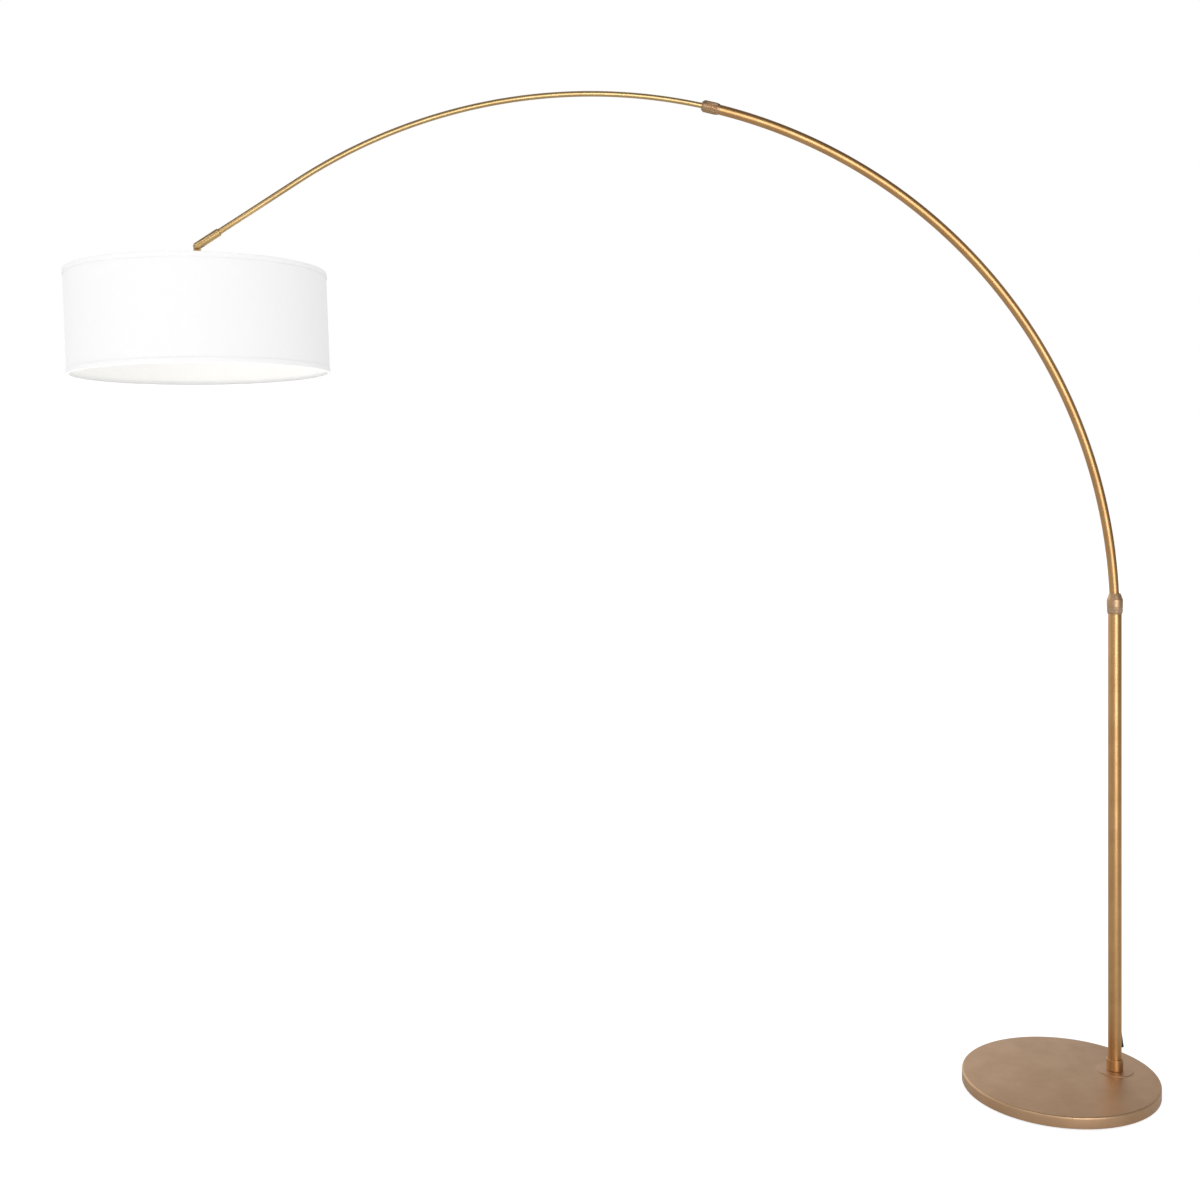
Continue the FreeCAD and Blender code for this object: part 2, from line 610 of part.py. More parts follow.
def make_holder():
    cap_tall = "(cap_bottom - cap_top)"
    cap = turned("holder_cap", [
        ("stem_radius", f"{cap_tall}"),
        ("stem_radius", f"{cap_tall} - 2.5"),
        ("stem_radius + 4", f"{cap_tall} - 2.5"),
        ("holder_radius - 2", f"{cap_tall} * 0.45"),
        ("holder_radius - 2", "0"),
        ("holder_radius + 0.5", "0"),
        ("holder_radius + 0.5", f"{cap_tall} * 0.5"),
        ("stem_radius + 6", f"{cap_tall}"),
    ], **hang("cap_bottom"))
    soften(cap, "2", [("holder_radius + 0.5", f"{cap_tall} * 0.5"), ("stem_radius + 6", cap_tall)])

    body_tall = "(holder_bottom - cap_bottom)"
    turned("holder_body", [
        ("socket_radius + shell_wall", "0"),
        ("holder_radius - 1", "0"),
        ("holder_radius", "1.5"),
        ("holder_radius", body_tall),
        ("holder_radius - 2.5", body_tall),
        ("holder_radius - 2.5", f"{body_tall} - insert_disc"),
        ("socket_radius + shell_wall", f"{body_tall} - insert_disc"),
    ], **hang("holder_bottom"))
    turned("holder_insert", [
        ("0", "4"),
        ("5", "4"),
        ("5", "0"),
        ("holder_radius - 2.5", "0"),
        ("holder_radius - 2.5", "insert_disc"),
        ("0", "insert_disc"),
    ], **hang("cap_bottom + insert_disc"))
    turned("thread_shell", [
        ("socket_radius", "0"),
        ("socket_radius + shell_wall", "0"),
        ("socket_radius + shell_wall", "shell_tall"),
        ("socket_radius", "shell_tall"),
    ], **hang("cap_bottom + insert_disc + shell_tall"))
    turned("centre_contact", [
        ("0", "0.5"),
        ("2.5", "0.5"),
        ("4", "3"),
        ("4", "4"),
        ("0", "4"),
    ], **hang("cap_bottom + insert_disc"))
    for label, drop in (("shade_ring_upper", "hub_drop"),
                        ("shade_ring_lower", "hub_drop + hub_thick + shade_ring_thick")):
        ring = turned(label, [
            ("holder_radius", "0"),
            ("shade_ring_radius", "0"),
            ("shade_ring_radius", "shade_ring_thick"),
            ("holder_radius", "shade_ring_thick"),
        ], **hang(drop))
        soften(ring, "1.2", [("shade_ring_radius", "0"), ("shade_ring_radius", "shade_ring_thick")])


# ---- shade ------------------------------------------------------------------------------------

def make_hem(label, foot, cap):
    """A tape folded over the shade's edge: foot is its free lower or upper end inside."""
    outside = "shade_radius"
    inside = "(shade_radius - fabric_thick - lining_thick)"
    return turned(label, [
        (outside, foot),
        (f"{outside} + hem_thick", foot),
        (f"{outside} + hem_thick", cap),
        (f"{inside} - hem_thick", cap),
        (f"{inside} - hem_thick", foot),
        (inside, foot),
        (inside, "hem_thick" if cap == "0" else "hem_tall"),
        (outside, "hem_thick" if cap == "0" else "hem_tall"),
    ], **hang("shade_drop + hem_thick" if cap == "0" else "shade_drop - shade_tall + hem_tall"))


def make_shade():
    skin = hang("shade_drop")
    turned("shade_fabric", [
        ("shade_radius - fabric_thick", "0"),
        ("shade_radius", "0"),
        ("shade_radius", "shade_tall"),
        ("shade_radius - fabric_thick", "shade_tall"),
    ], **skin)
    turned("shade_lining", [
        ("shade_radius - fabric_thick - lining_thick", "0"),
        ("shade_radius - fabric_thick", "0"),
        ("shade_radius - fabric_thick", "shade_tall"),
        ("shade_radius - fabric_thick - lining_thick", "shade_tall"),
    ], **skin)
    make_hem("hem_tape_bottom", "hem_tall", "0")
    make_hem("hem_tape_top", "0", "hem_tall + hem_thick")

    wire_ring = "shade_radius - fabric_thick - lining_thick - hem_thick - wire_radius"
    for label, drop in (("wire_ring_bottom", "shade_drop - wire_inset"),
                        ("wire_ring_top", "shade_drop - shade_tall + wire_inset")):
        ring = shape_of("Torus", label, Radius1=wire_ring, Radius2="wire_radius")
        node(place(ring, **hang(drop)), label)
    make_spider(wire_ring)


def make_spider(wire_ring):
    """A washer on the lampholder with straight arms rising to the top wire, made level."""
    hub = Part.makeCylinder(value("hub_radius"), value("hub_thick"))
    foot = FreeCAD.Vector(value("hub_radius - 2.5"), 0, value("hub_thick / 2"))
    rise = "hub_drop + hub_thick - shade_drop + shade_tall - wire_inset"
    tip = FreeCAD.Vector(value(f"{wire_ring} - wire_radius"), 0, value(rise))
    pieces = []
    count = int(value("arm_count"))
    for number in range(count):
        arm = Part.makeCylinder(value("wire_radius"), (tip - foot).Length, foot, tip - foot)
        arm.rotate(FreeCAD.Vector(), FreeCAD.Vector(0, 0, 1), 360 * number / count)
        pieces.append(arm)
    through = value("through")
    hole = Part.makeCylinder(value("holder_radius"), through, FreeCAD.Vector(0, 0, -through / 2))
    spider = DOC.addObject("Part::Feature", "shade_spider")
    spider.Shape = hub.fuse(pieces).cut(hole).removeSplitter()
    node(place(spider, **hang("hub_drop + hub_thick")), "shade_spider")


# ---- checks and export --------------------------------------------------------------------------

def check_document():
    """Stop if any object failed or any piece is not one valid closed solid or more."""
    DOC.recompute()
    for item in DOC.Objects:
        if "Invalid" in item.State or "Error" in item.State:
            raise RuntimeError(f"{item.Name} did not build: {item.State}")
    for piece in NODES:
        shape = piece.Shape
        if shape.isNull() or not shape.isValid() or not shape.Solids:
            raise RuntimeError(f"{piece.Label} has no valid solid")


def export_pieces():
    os.makedirs("parts", exist_ok=True)
    for piece in NODES:
        piece.Shape.exportStep(os.path.join("parts", f"{piece.Label}.step"))
        box = piece.Shape.BoundBox
        print(f"{piece.Label:18s} {len(piece.Shape.Solids)} solid, {piece.Shape.Volume:11.1f} mm3,"
              f" x {box.XMin:8.1f} {box.XMax:8.1f}  z {box.ZMin:7.1f} {box.ZMax:7.1f}")


make_base()
make_foot()
make_pole()
make_arc()
make_mouth_clamp()
make_rod()
make_tilt()
make_holder()
make_shade()
check_document()
export_pieces()
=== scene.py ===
"""Looks of the arc floor lamp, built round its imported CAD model.

Every piece is made in metres in the lamp's own frame: the floor is z = 0, the pole stands
off the base's middle towards +X, and the arm reaches out towards -X.
"""
import json
import math

import bmesh
import bpy
from mathutils import Matrix, Vector


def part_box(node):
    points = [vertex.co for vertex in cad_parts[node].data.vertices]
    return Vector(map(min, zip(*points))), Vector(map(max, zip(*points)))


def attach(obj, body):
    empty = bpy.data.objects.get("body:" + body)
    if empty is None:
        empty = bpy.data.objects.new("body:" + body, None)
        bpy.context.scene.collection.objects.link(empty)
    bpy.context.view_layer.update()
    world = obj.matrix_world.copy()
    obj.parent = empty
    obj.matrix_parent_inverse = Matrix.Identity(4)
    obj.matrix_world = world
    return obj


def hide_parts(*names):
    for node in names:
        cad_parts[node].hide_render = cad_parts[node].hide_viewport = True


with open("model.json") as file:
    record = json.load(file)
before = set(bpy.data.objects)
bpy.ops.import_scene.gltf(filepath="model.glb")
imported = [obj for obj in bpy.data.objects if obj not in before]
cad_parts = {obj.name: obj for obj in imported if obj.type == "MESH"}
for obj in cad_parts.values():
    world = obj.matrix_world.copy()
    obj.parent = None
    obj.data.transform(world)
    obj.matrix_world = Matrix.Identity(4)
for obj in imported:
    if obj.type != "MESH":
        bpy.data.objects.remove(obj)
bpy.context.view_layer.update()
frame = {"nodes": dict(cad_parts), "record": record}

MM = 0.001
RECORD = frame["record"]
JOINTS = {joint["name"]: joint for joint in RECORD["behaviour"]["joints"]}
MOUNTS = {mount["name"]: mount for mount in RECORD["mounts"]}


# ---- places read from the frame --------------------------------------------------------------

def low(node):
    """Lowest corner of a CAD node's box."""
    return Vector(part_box(node)[0])


def high(node):
    """Highest corner of a CAD node's box."""
    return Vector(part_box(node)[1])


def radius_of(node):
    """Radius of a CAD node that is round about an upright line."""
    return (high(node).x - low(node).x) / 2


def frame_at(origin, axis):
    """A matrix whose Z runs along an axis in the arm's plane and whose Y stays the lamp's own."""
    up = Vector(axis).normalized()
    side = Vector((0, 1, 0))
    ahead = side.cross(up).normalized()
    turn = Matrix((ahead, side, up)).transposed().to_4x4()
    return Matrix.Translation(Vector(origin)) @ turn


ARC_CENTRE = Vector(JOINTS["rod_reach"]["pos_m"])
PIN = Vector(JOINTS["shade_tilt"]["pos_m"])
POLE_X = (low("tail_bush").x + high("tail_bush").x) / 2
ARC_RADIUS = POLE_X - ARC_CENTRE.x
HANG = -Vector(MOUNTS["lamp_socket"]["axis"])
ARM_NUT_AXIS = Vector(JOINTS["arm_nut_turn"]["axis"])
OUTLET_AXIS = -Vector(MOUNTS["cord_exit"]["axis"])

POLE_RADIUS = 14 * MM
POLE_WALL = 1.5 * MM
TUBE_RADIUS = 10 * MM
TUBE_WALL = 1.5 * MM
ROD_RADIUS = 5.5 * MM
ROD_WALL = 1.2 * MM
MOUTH_ANGLE = math.radians(79.5)
ROD_START = math.radians(60)
ROD_BEND_END = math.radians(125.5)
ROD_STRAIGHT = 235 * MM
ROD_IN_SLEEVE = 34 * MM
SLEEVE_LONG = 57 * MM
KNURL_TOOTH = 0.42 * MM
SHADE_RADIUS = 235 * MM
SHADE_TALL = 193 * MM
SHADE_DROP = 245.4 * MM
SHARP_ANGLE = math.radians(35)


def below_pin(drop):
    """The hanging frame with its origin drop metres below the tilt pin."""
    return frame_at(PIN - HANG * drop, HANG)


def on_arc(angle):
    """The point of the arm's centre line at this angle on the arc."""
    return ARC_CENTRE + ARC_RADIUS * Vector((math.cos(angle), 0, math.sin(angle)))


def past_bend(shift):
    """The rod's own frame, shift metres past the end of its bend."""
    ahead = Vector((-math.sin(ROD_BEND_END), 0, math.cos(ROD_BEND_END)))
    return frame_at(on_arc(ROD_BEND_END) + ahead * shift, ahead)


# ---- node helpers ----------------------------------------------------------------------------

def new_material(name):
    """An empty Principled material; returns it with its tree and shader node."""
    material = bpy.data.materials.new(name)
    material.use_nodes = True
    tree = material.node_tree
    shader = tree.nodes["Principled BSDF"]
    return material, tree, shader


def add(tree, kind, settings=None, **inputs):
    """Add a node; inputs are values or sockets, keyed i0, i1... or by name with _ for spaces."""
    made = tree.nodes.new(kind)
    for key, setting in (settings or {}).items():
        setattr(made, key, setting)
    for key, given in inputs.items():
        numbered = key[0] == "i" and key[1:].isdigit()
        socket = made.inputs[int(key[1:]) if numbered else key.replace("_", " ")]
        if isinstance(given, bpy.types.NodeSocket):
            tree.links.new(given, socket)
        else:
            socket.default_value = given
    return made


def calc(tree, operation, *terms):
    """A Math node on numbers or sockets; gives its output."""
    inputs = {f"i{index}": term for index, term in enumerate(terms)}
    return add(tree, "ShaderNodeMath", {"operation": operation}, **inputs).outputs[0]


def distance(tree, across, along):
    """How far a point is from the origin of a plane."""
    squares = calc(tree, "ADD", calc(tree, "POWER", across, 2.0), calc(tree, "POWER", along, 2.0))
    return calc(tree, "SQRT", squares)


def vector(tree, x, y, z):
    """Three numbers or sockets joined into one vector."""
    return add(tree, "ShaderNodeCombineXYZ", i0=x, i1=y, i2=z).outputs[0]


def split(tree, given):
    """The three parts of a vector."""
    parts = add(tree, "ShaderNodeSeparateXYZ", i0=given).outputs
    return parts["X"], parts["Y"], parts["Z"]


def object_place(tree):
    """The Object coordinate."""
    return tree.nodes.new("ShaderNodeTexCoord").outputs["Object"]


def noise(tree, place, scale, detail=3.0, roughness=0.55):
    """Grey noise between 0 and 1."""
    made = add(tree, "ShaderNodeTexNoise", Vector=place, Scale=scale, Detail=detail,
               Roughness=roughness)
    return made.outputs["Fac"]


def ramp(tree, factor, low_point, high_point):
    """Spread factor's range low_point..high_point over 0..1."""
    made = add(tree, "ShaderNodeMapRange", Value=factor, From_Min=low_point, From_Max=high_point)
    return made.outputs["Result"]


def blend_colours(tree, factor, first, second):
    """A colour between first and second, each of them a colour or a socket."""
    made = add(tree, "ShaderNodeMix", {"data_type": "RGBA"}, i0=factor)
    for index, colour in ((6, first), (7, second)):
        if isinstance(colour, bpy.types.NodeSocket):
            tree.links.new(colour, made.inputs[index])
        else:
            made.inputs[index].default_value = (*colour, 1.0)
    return made.outputs[2]


def bump(tree, shader, layers):
    """Stack bumps on a shader; layers are (height socket, distance in metres, strength)."""
    normal = None
    for height, depth, strength in layers:
        made = add(tree, "ShaderNodeBump", Height=height, Distance=depth, Strength=strength)
        if normal is not None:
            tree.links.new(normal, made.inputs["Normal"])
        normal = made.outputs["Normal"]
    tree.links.new(normal, shader.inputs["Normal"])


# ---- finishes --------------------------------------------------------------------------------

BRONZE = (0.55, 0.320, 0.138)
BRONZE_DARK = (0.46, 0.258, 0.104)
BRONZE_WORN = (0.72, 0.50, 0.29)
BASE_BRONZE = (0.53, 0.335, 0.195)
BASE_DARK = (0.48, 0.298, 0.168)
NUT_BRONZE = (0.49, 0.32, 0.185)
NUT_DARK = (0.38, 0.24, 0.13)
# Lighter, greyer bronze for the knurled band: partly rubbed crests, partly a painted highlight for
# light scattered among the teeth.
KNURL_WEAR_AND_PAINTED_LIGHT = (0.60, 0.47, 0.34)
BRASS = (0.60, 0.42, 0.20)
BRASS_DARK = (0.50, 0.335, 0.15)
CLOTH_WHITE = (0.88, 0.88, 0.88)
GRAIN_STRETCH = 0.02


def metal(name, main, dark, grain_place, grain_scale, rough, grain_height, worn=None, worn_mask=None):
    """Satin lacquered metal; grain_place gives the coordinate that its fine grain follows."""
    grain_share = 0.22
    rough_spread = 0.02
    cloud_scale = 18.0
    peel_scale = 420.0
    peel_height = 0.000006
    material, tree, shader = new_material(name)
    place = object_place(tree)
    x, y, z = split(tree, place)
    grain = noise(tree, grain_place(tree, place, x, y, z), grain_scale, 4.0, 0.6)
    cloud = noise(tree, place, cloud_scale)
    peel = noise(tree, place, peel_scale, 1.0)
    grain_tone = calc(tree, "MULTIPLY", ramp(tree, grain, 0.3, 0.7), grain_share)
    cloud_tone = calc(tree, "MULTIPLY", ramp(tree, cloud, 0.35, 0.65), 1 - grain_share)
    tone = calc(tree, "ADD", grain_tone, cloud_tone)
    colour = blend_colours(tree, tone, dark, main)
    if worn_mask is not None:
        rubbed = calc(tree, "MULTIPLY", worn_mask(tree, x, y, z), ramp(tree, grain, 0.25, 0.6))
        colour = blend_colours(tree, rubbed, colour, worn)
    tree.links.new(colour, shader.inputs["Base Color"])
    roughness = add(tree, "ShaderNodeMapRange", Value=tone, To_Min=rough + rough_spread,
                    To_Max=rough - rough_spread)
    tree.links.new(roughness.outputs["Result"], shader.inputs["Roughness"])
    shader.inputs["Metallic"].default_value = 1.0
    shader.inputs["Coat Weight"].default_value = 0.12
    shader.inputs["Coat Roughness"].default_value = 0.3
    bump(tree, shader, [(grain, grain_height, 0.2), (peel, peel_height, 0.15)])
    return material


# The next three give the coordinate that a grain follows, from the Object coordinate and its parts.

def along_z(tree, place, x, y, z):
    """Grain that runs up a straight pole."""
    return vector(tree, x, y, calc(tree, "MULTIPLY", z, GRAIN_STRETCH))


def along_arc(tree, place, x, y, z):
    """Grain that runs along the arc: its coordinate is wound round the arc's centre."""
    across = calc(tree, "SUBTRACT", x, ARC_CENTRE.x)
    up = calc(tree, "SUBTRACT", z, ARC_CENTRE.z)
    off_line = calc(tree, "SUBTRACT", distance(tree, across, up), ARC_RADIUS)
    travel = calc(tree, "MULTIPLY", calc(tree, "ARCTAN2", up, across), ARC_RADIUS * GRAIN_STRETCH)
    return vector(tree, off_line, y, travel)


def any_way(tree, place, x, y, z):
    """Even grain with no direction."""
    return place


def base_edge_wear(tree, x, y, z):
    """A thin band round the base's top edge, where the lacquer is rubbed lighter."""
    most = 0.35
    radius = radius_of("base_cover")
    top = high("base_cover").z
    out = ramp(tree, distance(tree, x, y), radius - 5 * MM, radius - 1.5 * MM)
    over = ramp(tree, z, top - 6 * MM, top - 2 * MM)
    return calc(tree, "MULTIPLY", calc(tree, "MULTIPLY", out, over), most)


def plain(name, colour, rough, metallic=0.0, grain=600.0, height=0.00004, spread=0.06, sheen=0.0):
    """A simple finish with faint mottling and a fine texture."""
    cloud_scale = 35.0
    material, tree, shader = new_material(name)
    place = object_place(tree)
    fine = noise(tree, place, grain, 2.0)
    cloud = noise(tree, place, cloud_scale, 2.0)
    darker = tuple(part * (1 - spread) for part in colour)
    lighter = tuple(min(1.0, part * (1 + spread)) for part in colour)
    tree.links.new(blend_colours(tree, cloud, darker, lighter), shader.inputs["Base Color"])
    shader.inputs["Roughness"].default_value = rough
    shader.inputs["Metallic"].default_value = metallic
    if sheen:
        shader.inputs["Sheen Weight"].default_value = sheen
    bump(tree, shader, [(fine, height, 0.4)])
    return material


def woven(name, colour, thread, height, sheen):
    """Plain-weave cloth that follows the piece's own UV map, laid out in metres."""
    slub_scale = 900.0
    slub_stretch = 0.06
    material, tree, shader = new_material(name)
    uv = tree.nodes.new("ShaderNodeUVMap")
    uv.uv_map = "UVMap"
    across, up = split(tree, uv.outputs["UV"])[:2]
    turns = math.pi / thread
    warp = calc(tree, "ABSOLUTE", calc(tree, "SINE", calc(tree, "MULTIPLY", across, turns)))
    weft = calc(tree, "ABSOLUTE", calc(tree, "SINE", calc(tree, "MULTIPLY", up, turns)))
    slow_across = calc(tree, "MULTIPLY", across, slub_stretch)
    slow_up = calc(tree, "MULTIPLY", up, slub_stretch)
    weft_slub = noise(tree, vector(tree, slow_across, up, 0.0), slub_scale)
    warp_slub = noise(tree, vector(tree, across, slow_up, 0.5), slub_scale)
    weave = calc(tree, "ADD", calc(tree, "MULTIPLY", warp, warp_slub),
                 calc(tree, "MULTIPLY", weft, weft_slub))
    # Darker between the threads: painted shade in the weave's gaps.
    shade = ramp(tree, weave, 0.2, 1.1)
    darker = tuple(part * 0.93 for part in colour)
    tree.links.new(blend_colours(tree, shade, darker, colour), shader.inputs["Base Color"])
    shader.inputs["Roughness"].default_value = 0.9
    shader.inputs["Specular IOR Level"].default_value = 0.2
    shader.inputs["Sheen Weight"].default_value = sheen
    shader.inputs["Sheen Roughness"].default_value = 0.5
    bump(tree, shader, [(weave, height, 0.5)])
    return material


pole_bronze = metal("pole_bronze", BRONZE, BRONZE_DARK, along_z, 900.0, 0.38, 0.000003)
arc_bronze = metal("arc_bronze", BRONZE, BRONZE_DARK, along_arc, 900.0, 0.38, 0.000003)
base_bronze = metal("base_bronze", BASE_BRONZE, BASE_DARK, any_way, 260.0, 0.46, 0.00001,
                    BRONZE_WORN, base_edge_wear)
pole_nut_bronze = metal("pole_nut_bronze", NUT_BRONZE, NUT_DARK, along_z, 520.0, 0.46, 0.00006)
arm_nut_bronze = metal("arm_nut_bronze", NUT_BRONZE, NUT_DARK, along_arc, 520.0, 0.44, 0.00002)
# The knurl's lighter colour is partly rubbed crests and partly a painted highlight.
knurl_wear_and_painted_light = metal("knurl_wear_and_painted_light", KNURL_WEAR_AND_PAINTED_LIGHT, NUT_BRONZE, any_way, 700.0, 0.5, 0.00001)
rod_brass = metal("rod_brass", BRASS, BRASS_DARK, along_arc, 900.0, 0.34, 0.000003)
inner_brass = plain("inner_brass", BRASS, 0.35, metallic=1.0)
zinc = plain("zinc_plate", (0.55, 0.56, 0.58), 0.38, metallic=1.0)
cast_iron = plain("iron_casting", (0.05, 0.05, 0.055), 0.75, metallic=0.6, grain=350.0, height=0.0003)
felt = plain("dark_felt", (0.03, 0.03, 0.032), 0.95, grain=1500.0, height=0.0004, spread=0.25,
             sheen=0.4)
black_plastic = plain("outlet_black", (0.012, 0.012, 0.013), 0.42)
nylon = plain("natural_nylon", (0.78, 0.76, 0.70), 0.45)
holder_white = plain("holder_white", (0.80, 0.80, 0.78), 0.35)
steatite = plain("steatite_white", (0.82, 0.79, 0.72), 0.6)
wire_white = plain("wire_white", (0.82, 0.82, 0.81), 0.4)
liner_white = plain("liner_white", (0.90, 0.895, 0.875), 0.55, grain=500.0, height=0.00002,
                    spread=0.015)
cloth_white = woven("cloth_white", CLOTH_WHITE, 0.55 * MM, 0.0001, 0.12)
tape_white = woven("tape_white", CLOTH_WHITE, 0.7 * MM, 0.0001, 0.1)


# ---- mesh helpers ----------------------------------------------------------------------------

def finish_mesh(name, mesh, material, body, replaced=()):
    """Put a mesh in the scene as a finished piece that rides on a body."""
    mesh.name = name
    piece = bpy.data.objects.new(name, mesh)
    bpy.context.scene.collection.objects.link(piece)
    mesh.materials.clear()
    mesh.materials.append(material)
    mesh.shade_smooth()
    mesh.set_sharp_from_angle(angle=SHARP_ANGLE)
    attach(piece, body)
    if replaced:
        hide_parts(*replaced)
    return piece


def rounded(outline, closed=True):
    """Round the corners of an outline, a list of (radius, height, corner round) in metres."""
    steps = 5
    most_of_side = 0.49
    points = []
    count = len(outline)
    for index, (radius, height, corner) in enumerate(outline):
        here = Vector((radius, height))
        open_end = not closed and index in (0, count - 1)
        if corner <= 0 or open_end:
            points.append(here)
            continue
        before = Vector(outline[index - 1][:2]) - here
        after = Vector(outline[(index + 1) % count][:2]) - here
        half = before.angle(after) / 2
        longest = min(before.length, after.length) * most_of_side
        reach = min(corner / math.tan(half), longest)
        start = here + before.normalized() * reach
        end = here + after.normalized() * reach
        for step in range(steps + 1):
            share = step / steps
            rest = 1 - share
            points.append(start * rest ** 2 + here * 2 * share * rest + end * share ** 2)
    return points


def ring_of(shape, radius, level, around):
    """A ring of vertices about Z; on the axis they are all one vertex."""
    if radius < 0.0001 * MM:
        return [shape.verts.new((0, 0, level))] * around
    ring = []
    for step in range(around):
        angle = 2 * math.pi * step / around
        ring.append(shape.verts.new((radius * math.cos(angle), radius * math.sin(angle), level)))
    return ring


def lathe_mesh(outline, place, around=64, closed=True):
    """Turn an outline of (radius, height, corner round) about the Z of place, with UVs in metres."""
    points = rounded(outline, closed)
    mesh = bpy.data.meshes.new("turned")
    shape = bmesh.new()
    uv = shape.loops.layers.uv.new("UVMap")
    girth = 2 * math.pi * max(point.x for point in points)
    band_count = len(points) if closed else len(points) - 1
    travel = [0.0]
    for index in range(band_count):
        travel.append(travel[-1] + (points[(index + 1) % len(points)] - points[index]).length)
    rings = [ring_of(shape, point.x, point.y, around) for point in points]
    for index in range(band_count):
        near = rings[index]
        far = rings[(index + 1) % len(rings)]
        for step in range(around):
            after = (step + 1) % around
            corners = [(near[step], step, index), (near[after], step + 1, index),
                       (far[after], step + 1, index + 1), (far[step], step, index + 1)]
            unique = []
            for corner in corners:
                if corner[0] not in [kept[0] for kept in unique]:
                    unique.append(corner)
            if len(unique) < 3:
                continue
            face = shape.faces.new([corner[0] for corner in unique])
            for loop, corner in zip(face.loops, unique):
                loop[uv].uv = (corner[1] / around * girth, travel[corner[2]])
    bmesh.ops.recalc_face_normals(shape, faces=shape.faces)
    shape.transform(place)
    shape.to_mesh(mesh)
    shape.free()
    return mesh


def turned(name, outline, place, material, body, replaced=(), around=64, closed=True):
    """A finished lathe-turned piece."""
    return finish_mesh(name, lathe_mesh(outline, place, around, closed), material, body, replaced)


# ---- geometry trees --------------------------------------------------------------------------

def new_tree(name, sockets):
    """A geometry tree with named inputs; sockets is a list of (name, type)."""
    tree = bpy.data.node_groups.new(name, "GeometryNodeTree")
    tree.interface.new_socket("Geometry", in_out="OUTPUT", socket_type="NodeSocketGeometry")
    for socket, kind in sockets:
        tree.interface.new_socket(socket, in_out="INPUT", socket_type=f"NodeSocket{kind}")
    given = tree.nodes.new("NodeGroupInput").outputs
    return tree, given


def close_tree(tree, geometry, finish):
    """Realize the instances, set the material and send the geometry out."""
    real = add(tree, "GeometryNodeRealizeInstances", Geometry=geometry).outputs[0]
    painted = add(tree, "GeometryNodeSetMaterial", Geometry=real, Material=finish).outputs[0]
    out = tree.nodes.new("NodeGroupOutput")
    tree.links.new(painted, out.inputs[0])


def point_row(tree, count):
    """A row of count points, with the socket that numbers them from 0."""
    row = add(tree, "GeometryNodeMeshLine", {"mode": "OFFSET"}, Count=count).outputs[0]
    return row, tree.nodes.new("GeometryNodeInputIndex").outputs[0]


def move_to(tree, points, place):
    """Set each point's place."""
    return add(tree, "GeometryNodeSetPosition", Geometry=points, Position=place).outputs[0]


def even_angle(tree, number, count):
    """The angle of one of count even steps round a circle."""
    return calc(tree, "MULTIPLY", calc(tree, "DIVIDE", number, count), 2 * math.pi)


def on_circle(tree, angle, radius):
    """The two coordinates of a point on a circle."""
    return (calc(tree, "MULTIPLY", calc(tree, "COSINE", angle), radius),
            calc(tree, "MULTIPLY", calc(tree, "SINE", angle), radius))


def swept(tree, path, radius, around, capped=False):
    """A path swept with a round section."""
    section = add(tree, "GeometryNodeCurvePrimitiveCircle", {"mode": "RADIUS"}, Resolution=around,
                  Radius=radius).outputs[0]
    return add(tree, "GeometryNodeCurveToMesh", Curve=path, Profile_Curve=section,
               Fill_Caps=capped).outputs[0]


def copies(tree, points, instance, **settings):
    """An instance on every point."""
    return add(tree, "GeometryNodeInstanceOnPoints", Points=points, Instance=instance,
               **settings).outputs[0]


def grown_mesh(tree, inputs):
    """Run a geometry tree on an empty mesh and give the result as a plain mesh."""
    holder = bpy.data.objects.new("grown", bpy.data.meshes.new("grown"))
    bpy.context.scene.collection.objects.link(holder)
    modifier = holder.modifiers.new("grow", "NODES")
    modifier.node_group = tree
    for item in tree.interface.items_tree:
        if item.in_out == "INPUT" and item.name in inputs:
            modifier[item.identifier] = inputs[item.name]
    graph = bpy.context.evaluated_depsgraph_get()
    graph.update()
    mesh = bpy.data.meshes.new_from_object(holder.evaluated_get(graph))
    holder.modifiers.clear()
    bpy.data.objects.remove(holder)
    return mesh


def bent_tube_tree():
    """A line that runs straight and then along an arc, swept with a round section.

    The arc turns about the origin, from +X up towards +Z, through Sweep radians. The straight
    run stands under the arc's start.
    """
    tree, given = new_tree("bent_tube", [
        ("Bend Radius", "Float"), ("Straight", "Float"), ("Sweep", "Float"),
        ("Tube Radius", "Float"), ("Rings", "Int"), ("Around", "Int"), ("Finish", "Material"),
    ])
    bend = given["Bend Radius"]
    straight = given["Straight"]
    line, index = point_row(tree, given["Rings"])
    share = calc(tree, "DIVIDE", index, calc(tree, "SUBTRACT", given["Rings"], 1.0))
    whole = calc(tree, "ADD", straight, calc(tree, "MULTIPLY", bend, given["Sweep"]))
    travel = calc(tree, "SUBTRACT", calc(tree, "MULTIPLY", share, whole), straight)
    angle = calc(tree, "DIVIDE", calc(tree, "MAXIMUM", travel, 0.0), bend)
    below = calc(tree, "MINIMUM", travel, 0.0)
    across, up = on_circle(tree, angle, bend)
    placed = move_to(tree, line, vector(tree, across, 0.0, calc(tree, "ADD", up, below)))
    path = add(tree, "GeometryNodeMeshToCurve", Mesh=placed).outputs[0]
    close_tree(tree, swept(tree, path, given["Tube Radius"], given["Around"]), given["Finish"])
    return tree


